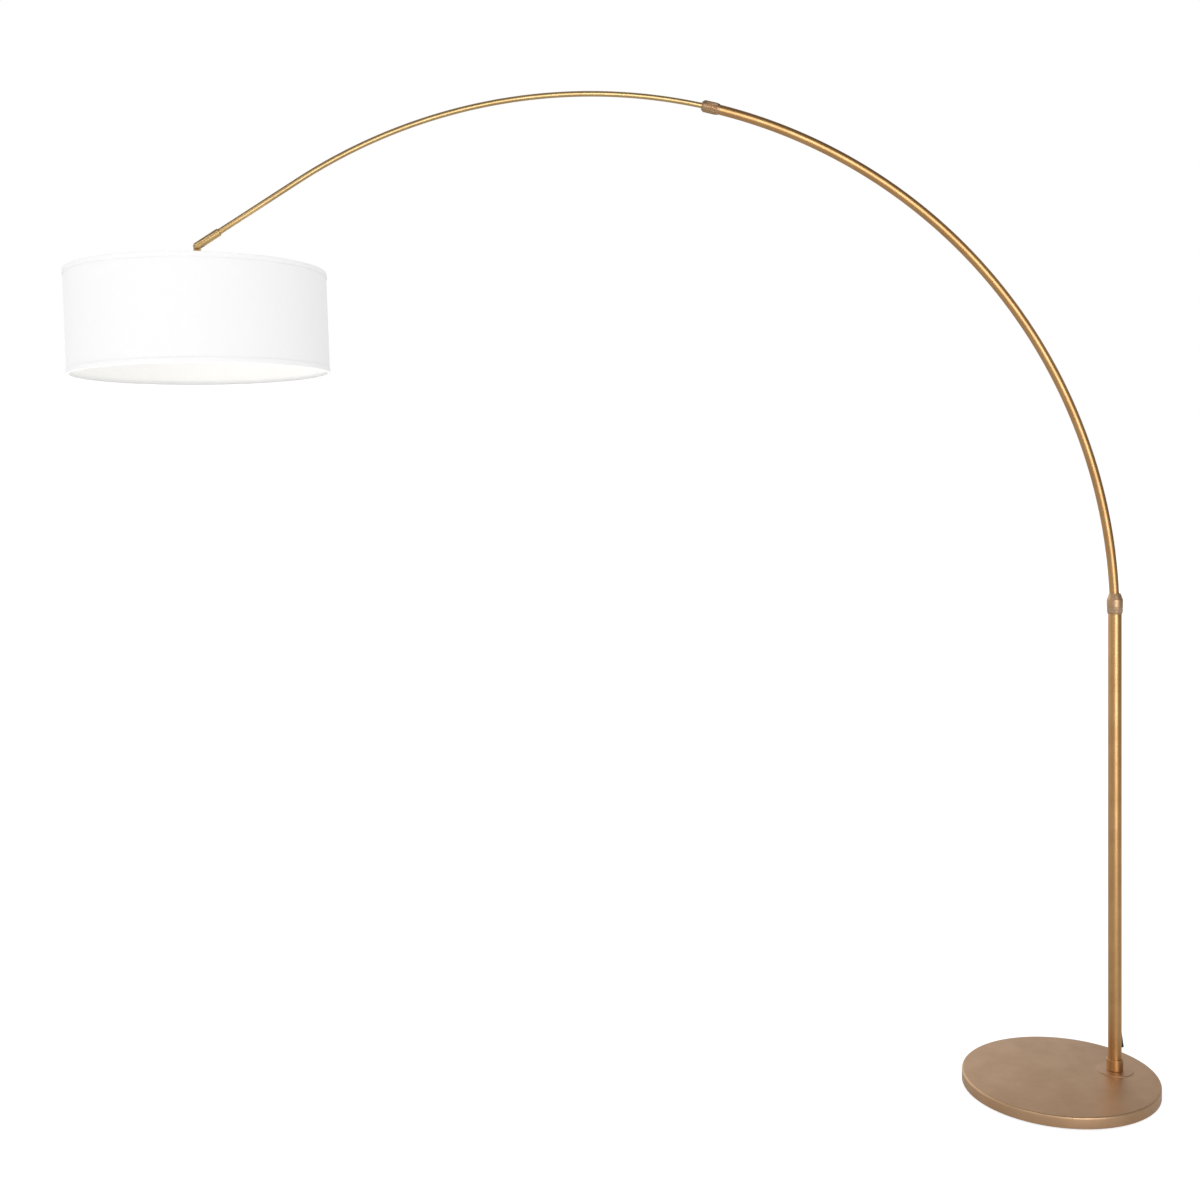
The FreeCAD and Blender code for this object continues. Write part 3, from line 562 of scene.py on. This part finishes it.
def knurl_tree():
    """Rows of small pyramids on a cylinder about Z, every other row half a pitch on."""
    tree, given = new_tree("knurl", [
        ("Radius", "Float"), ("Long", "Float"), ("Around", "Int"), ("Rows", "Int"),
        ("Tooth", "Float"), ("Finish", "Material"),
    ])
    radius = given["Radius"]
    around = given["Around"]
    line, index = point_row(tree, calc(tree, "MULTIPLY", around, given["Rows"]))
    row = calc(tree, "FLOOR", calc(tree, "DIVIDE", calc(tree, "ADD", index, 0.5), around))
    stagger = calc(tree, "MULTIPLY", calc(tree, "MODULO", row, 2.0), 0.5)
    angle = even_angle(tree, calc(tree, "ADD", index, stagger), around)
    pitch = calc(tree, "DIVIDE", given["Long"], calc(tree, "ADD", given["Rows"], 1.0))
    level = calc(tree, "MULTIPLY", calc(tree, "ADD", row, 1.0), pitch)
    placed = move_to(tree, line, vector(tree, *on_circle(tree, angle, radius), level))
    tooth = add(tree, "GeometryNodeMeshCone", {"fill_type": "NGON"}, Vertices=4, Radius_Top=0.22,
                Radius_Bottom=1.0, Depth=1.0).outputs[0]
    half_width = calc(tree, "DIVIDE", calc(tree, "MULTIPLY", radius, math.pi), around)
    teeth = copies(tree, placed, tooth, Rotation=vector(tree, 0.0, math.pi / 2, angle),
                   Scale=vector(tree, pitch, half_width, given["Tooth"]))
    close_tree(tree, teeth, given["Finish"])
    return tree


def ribs_tree():
    """Straight grip ribs round a cylinder about Z."""
    tree, given = new_tree("ribs", [
        ("Radius", "Float"), ("Long", "Float"), ("Around", "Int"), ("Width", "Float"),
        ("Finish", "Material"),
    ])
    line, index = point_row(tree, given["Around"])
    across, aside = on_circle(tree, even_angle(tree, index, given["Around"]), given["Radius"])
    middle = calc(tree, "MULTIPLY", given["Long"], 0.5)
    placed = move_to(tree, line, vector(tree, across, aside, middle))
    rib = add(tree, "GeometryNodeMeshUVSphere", Segments=8, Rings=5, Radius=0.5).outputs[0]
    ribs = copies(tree, placed, rib,
                  Scale=vector(tree, given["Width"], given["Width"], given["Long"]))
    close_tree(tree, ribs, given["Finish"])
    return tree


def spokes_tree():
    """Round wires from a hub out to a rim, spaced evenly about Z."""
    tree, given = new_tree("spokes", [
        ("Count", "Int"), ("Hub Radius", "Float"), ("Rim Radius", "Float"), ("Rise", "Float"),
        ("Wire Radius", "Float"), ("Finish", "Material"),
    ])
    hub = given["Hub Radius"]
    rim = given["Rim Radius"]
    near_hub = vector(tree, calc(tree, "ADD", hub, 30 * MM), 0.0,
                      calc(tree, "MULTIPLY", given["Rise"], 0.1))
    near_rim = vector(tree, calc(tree, "SUBTRACT", rim, 50 * MM), 0.0,
                      calc(tree, "MULTIPLY", given["Rise"], 0.8))
    path = add(tree, "GeometryNodeCurvePrimitiveBezierSegment", {"mode": "POSITION"}, Resolution=24,
               Start=vector(tree, hub, 0.0, 0.0), Start_Handle=near_hub, End_Handle=near_rim,
               End=vector(tree, rim, 0.0, given["Rise"])).outputs[0]
    spoke = swept(tree, path, given["Wire Radius"], 16, capped=True)
    line, index = point_row(tree, given["Count"])
    centred = move_to(tree, line, vector(tree, 0.0, 0.0, 0.0))
    angle = even_angle(tree, index, given["Count"])
    spokes = copies(tree, centred, spoke, Rotation=vector(tree, 0.0, 0.0, angle))
    close_tree(tree, spokes, given["Finish"])
    return tree


BENT_TUBE = bent_tube_tree()
KNURL = knurl_tree()
RIBS = ribs_tree()
SPOKES = spokes_tree()


def bent_tube(name, straight, sweep, radius, wall, place, material, body, replaced):
    """A hollow tube from the bent_tube tree, with its wall grown inwards."""
    mesh = grown_mesh(BENT_TUBE, {"Bend Radius": ARC_RADIUS, "Straight": straight, "Sweep": sweep,
                                  "Tube Radius": radius, "Rings": 260, "Around": 48,
                                  "Finish": material})
    shape = bmesh.new()
    shape.from_mesh(mesh)
    shape.transform(place)
    bmesh.ops.recalc_face_normals(shape, faces=shape.faces)
    shape.to_mesh(mesh)
    shape.free()
    piece = finish_mesh(name, mesh, material, body, replaced)
    shell = piece.modifiers.new("wall", "SOLIDIFY")
    shell.thickness = wall
    shell.offset = -1
    shell.use_rim = True


def grown(name, tree, inputs, place, material, body):
    """A finished piece from a geometry tree, put in place."""
    mesh = grown_mesh(tree, {**inputs, "Finish": material})
    mesh.transform(place)
    mesh.update()
    finish_mesh(name, mesh, material, body)


# ---- base and foot ---------------------------------------------------------------------------

def make_base():
    """The base's cover, the low plate on it and the collar round the pole's foot."""
    radius = radius_of("base_cover")
    top = high("base_cover").z
    lip = low("base_cover").z
    wall = 1.5 * MM
    inside = radius - wall
    cover = [(0, top, 0), (radius, top, 4 * MM), (radius, lip, 0.6 * MM), (inside, lip, 0.4 * MM),
             (inside, top - wall, 2.5 * MM), (0, top - wall, 0)]
    turned("base_cover_skin", cover, Matrix(), base_bronze, "base", ["base_cover"], 256, closed=False)

    foot = Matrix.Translation((POLE_X, 0, 0))
    hole = 6 * MM
    plate_radius = radius_of("foot_plate")
    plate_top = high("foot_plate").z
    plate = [(hole, top, 0), (plate_radius, top, 0), (plate_radius, plate_top, 0.6 * MM),
             (hole, plate_top, 0)]
    turned("foot_plate_disc", plate, foot, base_bronze, "base", ["foot_plate"], 128)

    bore = POLE_RADIUS + 0.05 * MM
    collar_radius = radius_of("foot_collar")
    collar_top = high("foot_collar").z
    chamfer = 1.2 * MM
    collar = [(bore, plate_top, 0), (collar_radius - chamfer / 2, plate_top, 0.3 * MM),
              (collar_radius, plate_top + chamfer, 0.3 * MM),
              (collar_radius, collar_top - 0.2 * MM, 1.2 * MM),
              (collar_radius - chamfer, collar_top, 0.4 * MM), (bore, collar_top, 0.5 * MM)]
    turned("foot_collar_ring", collar, foot, pole_bronze, "base", ["foot_collar"], 96)


def make_pole():
    """The pole, a plain tube that stands on the foot plate."""
    foot = high("foot_plate").z
    top = high("pole_tube").z
    bore = POLE_RADIUS - POLE_WALL
    pole = [(bore, foot, 0), (POLE_RADIUS, foot, 0), (POLE_RADIUS, top, 0.5 * MM),
            (bore, top, 0.5 * MM)]
    turned("pole", pole, Matrix.Translation((POLE_X, 0, 0)), pole_bronze, "base", ["pole_tube"], 128)


def make_outlet():
    """The black moulded outlet, with a rolled lip at its mouth and a few moulded grooves."""
    mount = MOUNTS["cord_exit"]
    past_mount = 4 * MM
    bore = mount["dims"]["r_mm"] * MM
    outside = 3.7 * MM
    tall = 40 * MM
    first = 4 * MM
    pitch = 3.2 * MM
    groove = 0.5 * MM
    outline = [(bore, 0, 0.4 * MM), (outside, 0, 0.5 * MM)]
    for ring in range(4):
        level = first + pitch * ring
        outline += [(outside, level, 0.2 * MM), (outside - groove, level + groove, 0.2 * MM),
                    (outside - groove, level + 1.1 * MM, 0.2 * MM),
                    (outside, level + pitch / 2, 0.2 * MM)]
    outline += [(outside, tall, 0.8 * MM), (bore, tall, 0.3 * MM)]
    mouth = frame_at(Vector(mount["pos_m"]) - OUTLET_AXIS * past_mount, OUTLET_AXIS)
    turned("cord_outlet_moulding", outline, mouth, black_plastic, "base", ["cord_outlet"], 48)


# ---- lock nuts -------------------------------------------------------------------------------

def make_pole_nut():
    """The lower lock nut: a knurled band, a plain one, and a cone up to the arc tube."""
    foot = low("pole_lock_nut").z
    tall = high("pole_lock_nut").z - foot
    radius = 16.8 * MM
    band_radius = radius - 0.85 * MM
    skirt = 4 * MM
    band = 11 * MM
    band_top = skirt + band
    cone = tall - 12 * MM
    neck = 13.65 * MM
    web = 19 * MM
    mouth = 11.5 * MM
    outline = [
        (neck, 0, 0.3 * MM), (radius - 2.2 * MM, 0, 0.4 * MM),
        (band_radius - 0.05 * MM, skirt, 0.4 * MM), (band_radius + 0.1 * MM, band_top, 0.2 * MM),
        (radius - 0.15 * MM, band_top + 0.7 * MM, 0.3 * MM),
        (radius, cone - 1.1 * MM, 0.15 * MM), (radius - 0.55 * MM, cone, 0.1 * MM),
        (mouth + 0.5 * MM, tall, 0.2 * MM), (mouth, tall, 0.1 * MM),
        (mouth, web, 0), (neck, web, 0),
    ]
    place = Matrix.Translation((POLE_X, 0, foot))
    turned("pole_nut_body", outline, place, pole_nut_bronze, "pole_nut", ["pole_lock_nut"], 96)
    # The knurl's teeth carry the lighter finish: rubbed crests with a painted highlight.
    grown("pole_nut_knurl", KNURL,
          {"Radius": band_radius, "Long": band, "Around": 64, "Rows": 13, "Tooth": KNURL_TOOTH},
          place @ Matrix.Translation((0, 0, skirt)), knurl_wear_and_painted_light, "pole_nut")


def make_arm_nut():
    """The upper lock nut: a knurled barrel with a rounded nose that the rod comes out of."""
    middle = Vector(JOINTS["arm_nut_turn"]["pos_m"])
    foot_to_middle = 18.4 * MM
    place = frame_at(middle - ARM_NUT_AXIS * foot_to_middle, ARM_NUT_AXIS)
    long = 36.5 * MM
    radius = 12.3 * MM
    band_radius = radius - 0.6 * MM
    skirt = 4.5 * MM
    band = 23 * MM
    nose = 8 * MM
    shoulder = long - nose
    neck = 10.65 * MM
    chamber = 8 * MM
    chamber_foot = 26.1 * MM
    chamber_top = chamber_foot + 6.4 * MM
    bore = 6.3 * MM
    outline = [
        (neck, 0, 0.1 * MM), (radius - 1.2 * MM, 0, 0.3 * MM),
        (band_radius + 0.05 * MM, skirt, 0.4 * MM),
        (band_radius + 0.1 * MM, shoulder - 1 * MM, 0.3 * MM), (radius, shoulder, 0.5 * MM),
        (radius - 0.5 * MM, long - nose * 0.62, 2.5 * MM),
        (bore + 2.6 * MM, long - 1.2 * MM, 2.2 * MM),
        (bore + 0.8 * MM, long, 0.4 * MM), (bore, long, 0.2 * MM),
        (bore, chamber_top, 0), (chamber, chamber_top, 0), (chamber, chamber_foot, 0),
        (neck, chamber_foot, 0),
    ]
    turned("arm_nut_body", outline, place, arm_nut_bronze, "arm_nut", ["arm_lock_nut"], 96)
    grown("arm_nut_knurl", KNURL,
          {"Radius": band_radius, "Long": band, "Around": 48, "Rows": 27, "Tooth": KNURL_TOOTH},
          place @ Matrix.Translation((0, 0, skirt)), arm_nut_bronze, "arm_nut")


# ---- arm -------------------------------------------------------------------------------------

def make_arm():
    """The arc tube, and the rod that slides in it along the same circle."""
    centre = Matrix.Translation(ARC_CENTRE)
    tail = ARC_CENTRE.z - low("arc_tube").z
    bent_tube("arc_tube_skin", tail, MOUTH_ANGLE, TUBE_RADIUS, TUBE_WALL, centre, arc_bronze, "arm",
              ["arc_tube"])
    mirrored = Matrix.Scale(-1, 4, (0, 0, 1))
    turn = Matrix.Rotation(-ROD_BEND_END, 4, "Y")
    straight = ROD_STRAIGHT - SLEEVE_LONG + ROD_IN_SLEEVE
    bent_tube("rod_skin", straight, ROD_BEND_END - ROD_START, ROD_RADIUS, ROD_WALL,
              centre @ turn @ mirrored, rod_brass, "rod", ["rod"])


def make_sleeve():
    """The end sleeve: turned, then slotted into a fork for the tilt tongue."""
    radius = 7.5 * MM
    bore_end = ROD_IN_SLEEVE - 0.1 * MM
    outline = [(0, bore_end, 0), (ROD_RADIUS, bore_end, 0), (ROD_RADIUS, 0, 0.1 * MM),
               (radius - 0.5 * MM, 0, 0.3 * MM), (radius, 0.9 * MM, 0.3 * MM),
               (radius, SLEEVE_LONG - 5.6 * MM, 2 * MM),
               (radius * 0.75, SLEEVE_LONG - 1.9 * MM, 1.8 * MM),
               (radius * 0.35, SLEEVE_LONG, 1 * MM), (0, SLEEVE_LONG, 0)]
    mesh = lathe_mesh(outline, past_bend(ROD_STRAIGHT - SLEEVE_LONG), 96, closed=False)
    piece = finish_mesh("end_sleeve_fork", mesh, rod_brass, "rod", ["end_sleeve"])
    slot_deep = 19 * MM
    slot_wide = 5.2 * MM
    slot_across = 40 * MM
    slot_long = 50 * MM
    gap = bmesh.new()
    bmesh.ops.create_cube(gap, size=1.0)
    gap.transform(past_bend(ROD_STRAIGHT - slot_deep) @ Matrix.Translation((0, 0, slot_long / 2))
                  @ Matrix.Diagonal((slot_across, slot_wide, slot_long, 1)))
    cut_away(piece, gap)


def cut_away(piece, tool_shape):
    """Cut a bmesh tool out of a piece and apply the cut."""
    tool_mesh = bpy.data.meshes.new("tool")
    tool_shape.to_mesh(tool_mesh)
    tool_shape.free()
    tool = bpy.data.objects.new("tool", tool_mesh)
    bpy.context.scene.collection.objects.link(tool)
    cut = piece.modifiers.new("cut", "BOOLEAN")
    cut.operation = "DIFFERENCE"
    cut.solver = "EXACT"
    cut.object = tool
    graph = bpy.context.evaluated_depsgraph_get()
    graph.update()
    result = bpy.data.meshes.new_from_object(piece.evaluated_get(graph))
    piece.modifiers.clear()
    old = piece.data
    piece.data = result
    bpy.data.meshes.remove(old)
    bpy.data.objects.remove(tool)
    result.name = piece.name
    result.set_sharp_from_angle(angle=SHARP_ANGLE)


# ---- lampholder ------------------------------------------------------------------------------

def make_holder():
    """The lampholder: its cap, grooved body, threaded shell and the two ribbed shade rings."""
    stem_hole = 5 * MM
    cap_tall = 22 * MM
    cap_outer = 20 * MM
    cap_inner = 17.5 * MM
    cap_roof = cap_tall - 2.5 * MM
    cap = [(stem_hole, cap_roof, 0), (9 * MM, cap_roof, 0.5 * MM),
           (cap_inner, cap_tall * 0.45, 1.5 * MM), (cap_inner, 0, 0), (cap_outer, 0, 0.5 * MM),
           (cap_outer, cap_tall * 0.5, 4 * MM), (11 * MM, cap_tall, 2.5 * MM),
           (stem_hole, cap_tall, 0.5 * MM)]
    cap_drop = 59 * MM
    turned("holder_cap_skin", cap, below_pin(cap_drop), holder_white, "shade", ["holder_cap"], 96)

    mouth = 13.7 * MM
    outer = 19.5 * MM
    chamber = 17 * MM
    tall = 43 * MM
    ledge = tall - 12 * MM
    body = [(mouth, 0, 0.3 * MM), (outer - 1 * MM, 0, 0.8 * MM), (outer, 1.5 * MM, 0.5 * MM)]
    for turn in range(5):
        level = 5 * MM + 2.6 * MM * turn
        body += [(outer, level, 0.1 * MM), (outer - 0.7 * MM, level + 0.6 * MM, 0.2 * MM),
                 (outer, level + 1.4 * MM, 0.1 * MM)]
    body += [(outer, tall, 0.2 * MM), (chamber, tall, 0), (chamber, ledge, 0), (mouth, ledge, 0)]
    body_drop = 102 * MM
    turned("holder_body_skin", body, below_pin(body_drop), holder_white, "shade", ["holder_body"], 96)

    trough = 13.3 * MM
    crest = 13.6 * MM
    shell_long = 26 * MM
    pitch = 3.6 * MM
    shell = [(trough, 0, 0)]
    for turn in range(6):
        level = 1.5 * MM + pitch * turn
        shell += [(trough, level, 0.3 * MM), (crest, level + pitch / 2, 0.3 * MM)]
    shell += [(trough, shell_long, 0), (mouth, shell_long, 0), (mouth, 0, 0)]
    shell_drop = 97 * MM
    turned("thread_shell_skin", shell, below_pin(shell_drop), inner_brass, "shade",
           ["thread_shell"], 96)

    ring_outer = 26.4 * MM
    ring_tall = 5 * MM
    rib_gap = 0.3 * MM
    ring = [(outer, 0, 0.2 * MM), (ring_outer, 0, 0.9 * MM), (ring_outer, ring_tall, 0.9 * MM),
            (outer, ring_tall, 0.2 * MM)]
    ribs = {"Radius": ring_outer - 0.1 * MM, "Long": ring_tall - 2 * rib_gap, "Around": 40,
            "Width": 1.3 * MM}
    for label, ring_drop in (("upper", 72.5 * MM), ("lower", 79 * MM)):
        node = f"shade_ring_{label}"
        place = below_pin(ring_drop)
        turned(f"{node}_skin", ring, place, holder_white, "shade", [node], 96)
        grown(f"{node}_grip", RIBS, ribs, place @ Matrix.Translation((0, 0, rib_gap)),
              holder_white, "shade")


# ---- shade -----------------------------------------------------------------------------------

def make_shade():
    """The drum shade: cloth, liner, both hems, both wires and the three-armed spider."""
    cloth_thick = 0.6 * MM
    liner_thick = 0.5 * MM
    outside = SHADE_RADIUS - cloth_thick
    inside = outside - liner_thick
    place = below_pin(SHADE_DROP)

    cloth = cloth_sheet(place, cloth_thick / 2)
    edge_gap = 0.2 * MM
    liner = [(inside, edge_gap, 0), (outside, edge_gap, 0), (outside, SHADE_TALL - edge_gap, 0),
             (inside, SHADE_TALL - edge_gap, 0)]
    turned("shade_liner", liner, place, liner_white, "shade", ["shade_lining"], 256)

    hem_tall = 9 * MM
    tape = 0.4 * MM
    glue = 0.02 * MM
    outer_face = SHADE_RADIUS + glue
    inner_face = inside - glue
    for label, foot, edge, fold in (("bottom", hem_tall, 0.0, -tape),
                                    ("top", SHADE_TALL - hem_tall, SHADE_TALL, SHADE_TALL + tape)):
        hem = [(outer_face, foot, 0), (outer_face + tape, foot, 0.1 * MM),
               (outer_face + tape, fold, 0.7 * MM), (inner_face - tape, fold, 0.7 * MM),
               (inner_face - tape, foot, 0.1 * MM), (inner_face, foot, 0), (inner_face, edge, 0),
               (outer_face, edge, 0)]
        turned(f"hem_{label}", hem, place, tape_white, "shade", [f"hem_tape_{label}"], 256)

    wire = 1.25 * MM
    wire_inset = 2.2 * MM
    ring_radius = inside - tape - wire
    sides = 12
    for label, level in (("bottom", wire_inset), ("top", SHADE_TALL - wire_inset)):
        section = []
        for step in range(sides):
            angle = 2 * math.pi * step / sides
            section.append((ring_radius + wire * math.cos(angle), level + wire * math.sin(angle), 0))
        turned(f"shade_wire_{label}", section, place, wire_white, "shade", [f"wire_ring_{label}"], 192)

    hub_drop = 74 * MM
    hub_bore = 19.55 * MM
    hub_radius = 33 * MM
    hub_thick = 1.5 * MM
    hub_place = below_pin(hub_drop)
    hub = [(hub_bore, 0, 0.2 * MM), (hub_radius, 0, 0.5 * MM), (hub_radius, hub_thick, 0.5 * MM),
           (hub_bore, hub_thick, 0.2 * MM)]
    turned("spider_hub", hub, hub_place, wire_white, "shade", ["shade_spider"], 96)
    hub_middle = hub_thick / 2
    top_wire = hub_drop - (SHADE_DROP - SHADE_TALL) - wire_inset
    grown("spider_arms", SPOKES,
          {"Count": 3, "Hub Radius": hub_radius - 2.5 * MM,
           "Rim Radius": ring_radius - wire + 0.3 * MM, "Rise": top_wire - hub_middle,
           "Wire Radius": wire},
          hub_place @ Matrix.Translation((0, 0, hub_middle)), wire_white, "shade")


def cloth_sheet(place, thick):
    """The shade's cloth: a drum laminated to its liner, closed by a narrow lap at the back."""
    around = 360
    levels = 24
    girth = 2 * math.pi * SHADE_RADIUS
    face_radius = SHADE_RADIUS - 0.4 * MM
    lap_angle = math.pi / 2
    lap_width = 9 * MM / SHADE_RADIUS
    lap_slope = 0.15 * lap_width
    lap_height = 0.35 * MM
    ripple_height = 0.05 * MM
    mesh = bpy.data.meshes.new("cloth")
    shape = bmesh.new()
    uv = shape.loops.layers.uv.new("UVMap")
    rows = []
    for level in range(levels + 1):
        height = SHADE_TALL * level / levels
        ring = []
        for step in range(around):
            angle = 2 * math.pi * step / around
            off_lap = abs(angle - lap_angle)
            lap = max(0.0, min(1.0, (lap_width / 2 - off_lap) / lap_slope + 1))
            ripple = math.sin(9 * angle + 2.1 * math.sin(11 * height)) - 1
            reach = face_radius + lap_height * lap + ripple_height * ripple
            ring.append(shape.verts.new((reach * math.cos(angle), reach * math.sin(angle), height)))
        rows.append(ring)
    for level in range(levels):
        for step in range(around):
            after = (step + 1) % around
            face = shape.faces.new((rows[level][step], rows[level][after], rows[level + 1][after],
                                    rows[level + 1][step]))
            spots = ((step, level), (step + 1, level), (step + 1, level + 1), (step, level + 1))
            for loop, (turn, tier) in zip(face.loops, spots):
                loop[uv].uv = (girth * turn / around, SHADE_TALL * tier / levels)
    bmesh.ops.recalc_face_normals(shape, faces=shape.faces)
    shape.transform(place)
    shape.to_mesh(mesh)
    shape.free()
    piece = finish_mesh("shade_cloth", mesh, cloth_white, "shade", ["shade_fabric"])
    shell = piece.modifiers.new("thickness", "SOLIDIFY")
    shell.thickness = thick
    shell.offset = -1
    return piece


# ---- CAD pieces that keep their own shape ----------------------------------------------------

def finish_cad_nodes():
    """Give every CAD node that is still shown its own material."""
    kept = {
        "base_weight": cast_iron, "base_pad": felt, "foot_bolt": zinc, "foot_washer": zinc,
        "foot_plug": zinc, "pole_insert": inner_brass, "pole_collet": nylon,
        "gland_ring": inner_brass, "tail_bush": nylon, "tail_cap": nylon, "tail_clip": zinc,
        "mouth_insert": inner_brass, "rod_collet": nylon, "rod_glide": nylon, "set_screw": zinc,
        "tilt_pin": zinc, "tilt_tongue": rod_brass, "stem": zinc, "stem_nut": zinc,
        "holder_insert": steatite, "centre_contact": inner_brass,
    }
    for name, material in kept.items():
        mesh = frame["nodes"][name].data
        mesh.materials.clear()
        mesh.materials.append(material)


# ---- stage, light and camera -----------------------------------------------------------------

def by_ray(tree, camera, glossy, other):
    """A value that depends on which kind of ray asks for it."""
    path = tree.nodes.new("ShaderNodeLightPath").outputs
    indirect = add(tree, "ShaderNodeMix", {"data_type": "FLOAT"}, i0=path["Is Glossy Ray"],
                   i2=other, i3=glossy).outputs[0]
    return add(tree, "ShaderNodeMix", {"data_type": "FLOAT"}, i0=path["Is Camera Ray"],
               i2=indirect, i3=camera).outputs[0]


def make_stage():
    """A wide floor that glows, so that it shows white everywhere."""
    half = 30.0
    corners = [(-half, -half, 0), (half, -half, 0), (half, half, 0), (-half, half, 0)]
    mesh = bpy.data.meshes.new("floor")
    mesh.from_pydata(corners, [], [(0, 1, 2, 3)])
    floor = bpy.data.objects.new("studio_floor", mesh)
    bpy.context.scene.collection.objects.link(floor)
    material, tree, shader = new_material("studio_white")
    mottle = noise(tree, object_place(tree), 3.0)
    faint = blend_colours(tree, mottle, (0.50, 0.50, 0.50), (0.52, 0.52, 0.52))
    tree.links.new(faint, shader.inputs["Base Color"])
    shader.inputs["Roughness"].default_value = 0.9
    shader.inputs["Specular IOR Level"].default_value = 0.0
    shader.inputs["Emission Color"].default_value = (1, 1, 1, 1)
    glow = by_ray(tree, camera=0.72, glossy=0.16, other=0.73)
    tree.links.new(glow, shader.inputs["Emission Strength"])
    mesh.materials.append(material)


def soft_box(name, place, target, width, tall, watts, glossy=True, diffuse=True):
    """A rectangular light at place that faces target."""
    light = bpy.data.lights.new(name, "AREA")
    light.shape = "RECTANGLE"
    light.size = width
    light.size_y = tall
    light.energy = watts
    lamp = bpy.data.objects.new(name, light)
    lamp.location = place
    lamp.rotation_euler = (Vector(target) - Vector(place)).to_track_quat("-Z", "Y").to_euler()
    lamp.visible_glossy = glossy
    lamp.visible_diffuse = diffuse
    bpy.context.scene.collection.objects.link(lamp)


def make_light():
    """Two boxes seen only in reflections, and two that light only matt finishes."""
    soft_box("strip_front", (0.0, -3.4, 1.30), (0.1, 0, 1.0), width=2.2, tall=2.4, watts=64,
             diffuse=False)
    soft_box("glint_left", (-3.6, -2.4, 2.7), (-0.7, 0, 1.9), width=1.2, tall=1.2, watts=24,
             diffuse=False)
    soft_box("key_front", (-2.15, -3.4, 2.2), (-1.75, 0, 1.5), width=2.0, tall=1.6, watts=24,
             glossy=False)
    soft_box("fill_under", (-1.85, 0.0, 0.6), (-1.70, 0.02, 1.6), width=0.6, tall=0.4, watts=4.5,
             glossy=False)


def make_room():
    """White to the camera; in reflections, a room dimmer in front, on the right and overhead."""
    world = bpy.data.worlds.new("studio")
    world.use_nodes = True
    tree = world.node_tree
    tree.nodes.clear()
    x, y, z = split(tree, tree.nodes.new("ShaderNodeTexCoord").outputs["Generated"])
    walls = ramp(tree, z, 0.78, 0.52)
    skylight = calc(tree, "MULTIPLY", ramp(tree, z, 0.78, 0.90), 0.45)
    left = ramp(tree, x, 0.75, 0.10)
    right_window = calc(tree, "MULTIPLY", ramp(tree, z, 0.10, 0.30), 0.5)
    by_height = calc(tree, "MAXIMUM", walls, skylight)
    by_side = calc(tree, "MAXIMUM", left, right_window)
    by_depth = calc(tree, "MULTIPLY_ADD", ramp(tree, y, -0.2, 0.5), 0.85, 0.5)
    lit = calc(tree, "MULTIPLY", calc(tree, "MULTIPLY", by_height, by_side), by_depth)
    room = calc(tree, "ADD", lit, 0.06)
    studio = add(tree, "ShaderNodeBackground", Color=(1, 1, 1, 1),
                 Strength=by_ray(tree, camera=1.0, glossy=room, other=0.8))
    out = tree.nodes.new("ShaderNodeOutputWorld")
    tree.links.new(studio.outputs[0], out.inputs["Surface"])
    bpy.context.scene.world = world


def make_camera():
    """A level camera in front of the arm, turned a little to the right."""
    camera = bpy.data.cameras.new("camera")
    camera.sensor_width = 36.0
    camera.lens = 40.5
    camera.shift_x = -1 / 12
    camera.shift_y = -0.08
    camera.clip_end = 100
    eye = bpy.data.objects.new("camera", camera)
    eye.location = (-1.2525, -2.694, 1.237)
    eye.rotation_euler = (math.radians(90), 0, math.radians(-10))
    bpy.context.scene.collection.objects.link(eye)
    bpy.context.scene.camera = eye
    bpy.context.scene.view_settings.view_transform = "Standard"


make_base()
make_pole()
make_outlet()
make_pole_nut()
make_arm_nut()
make_arm()
make_sleeve()
make_holder()
make_shade()
finish_cad_nodes()
make_stage()
make_light()
make_room()
make_camera()
bpy.context.view_layer.update()
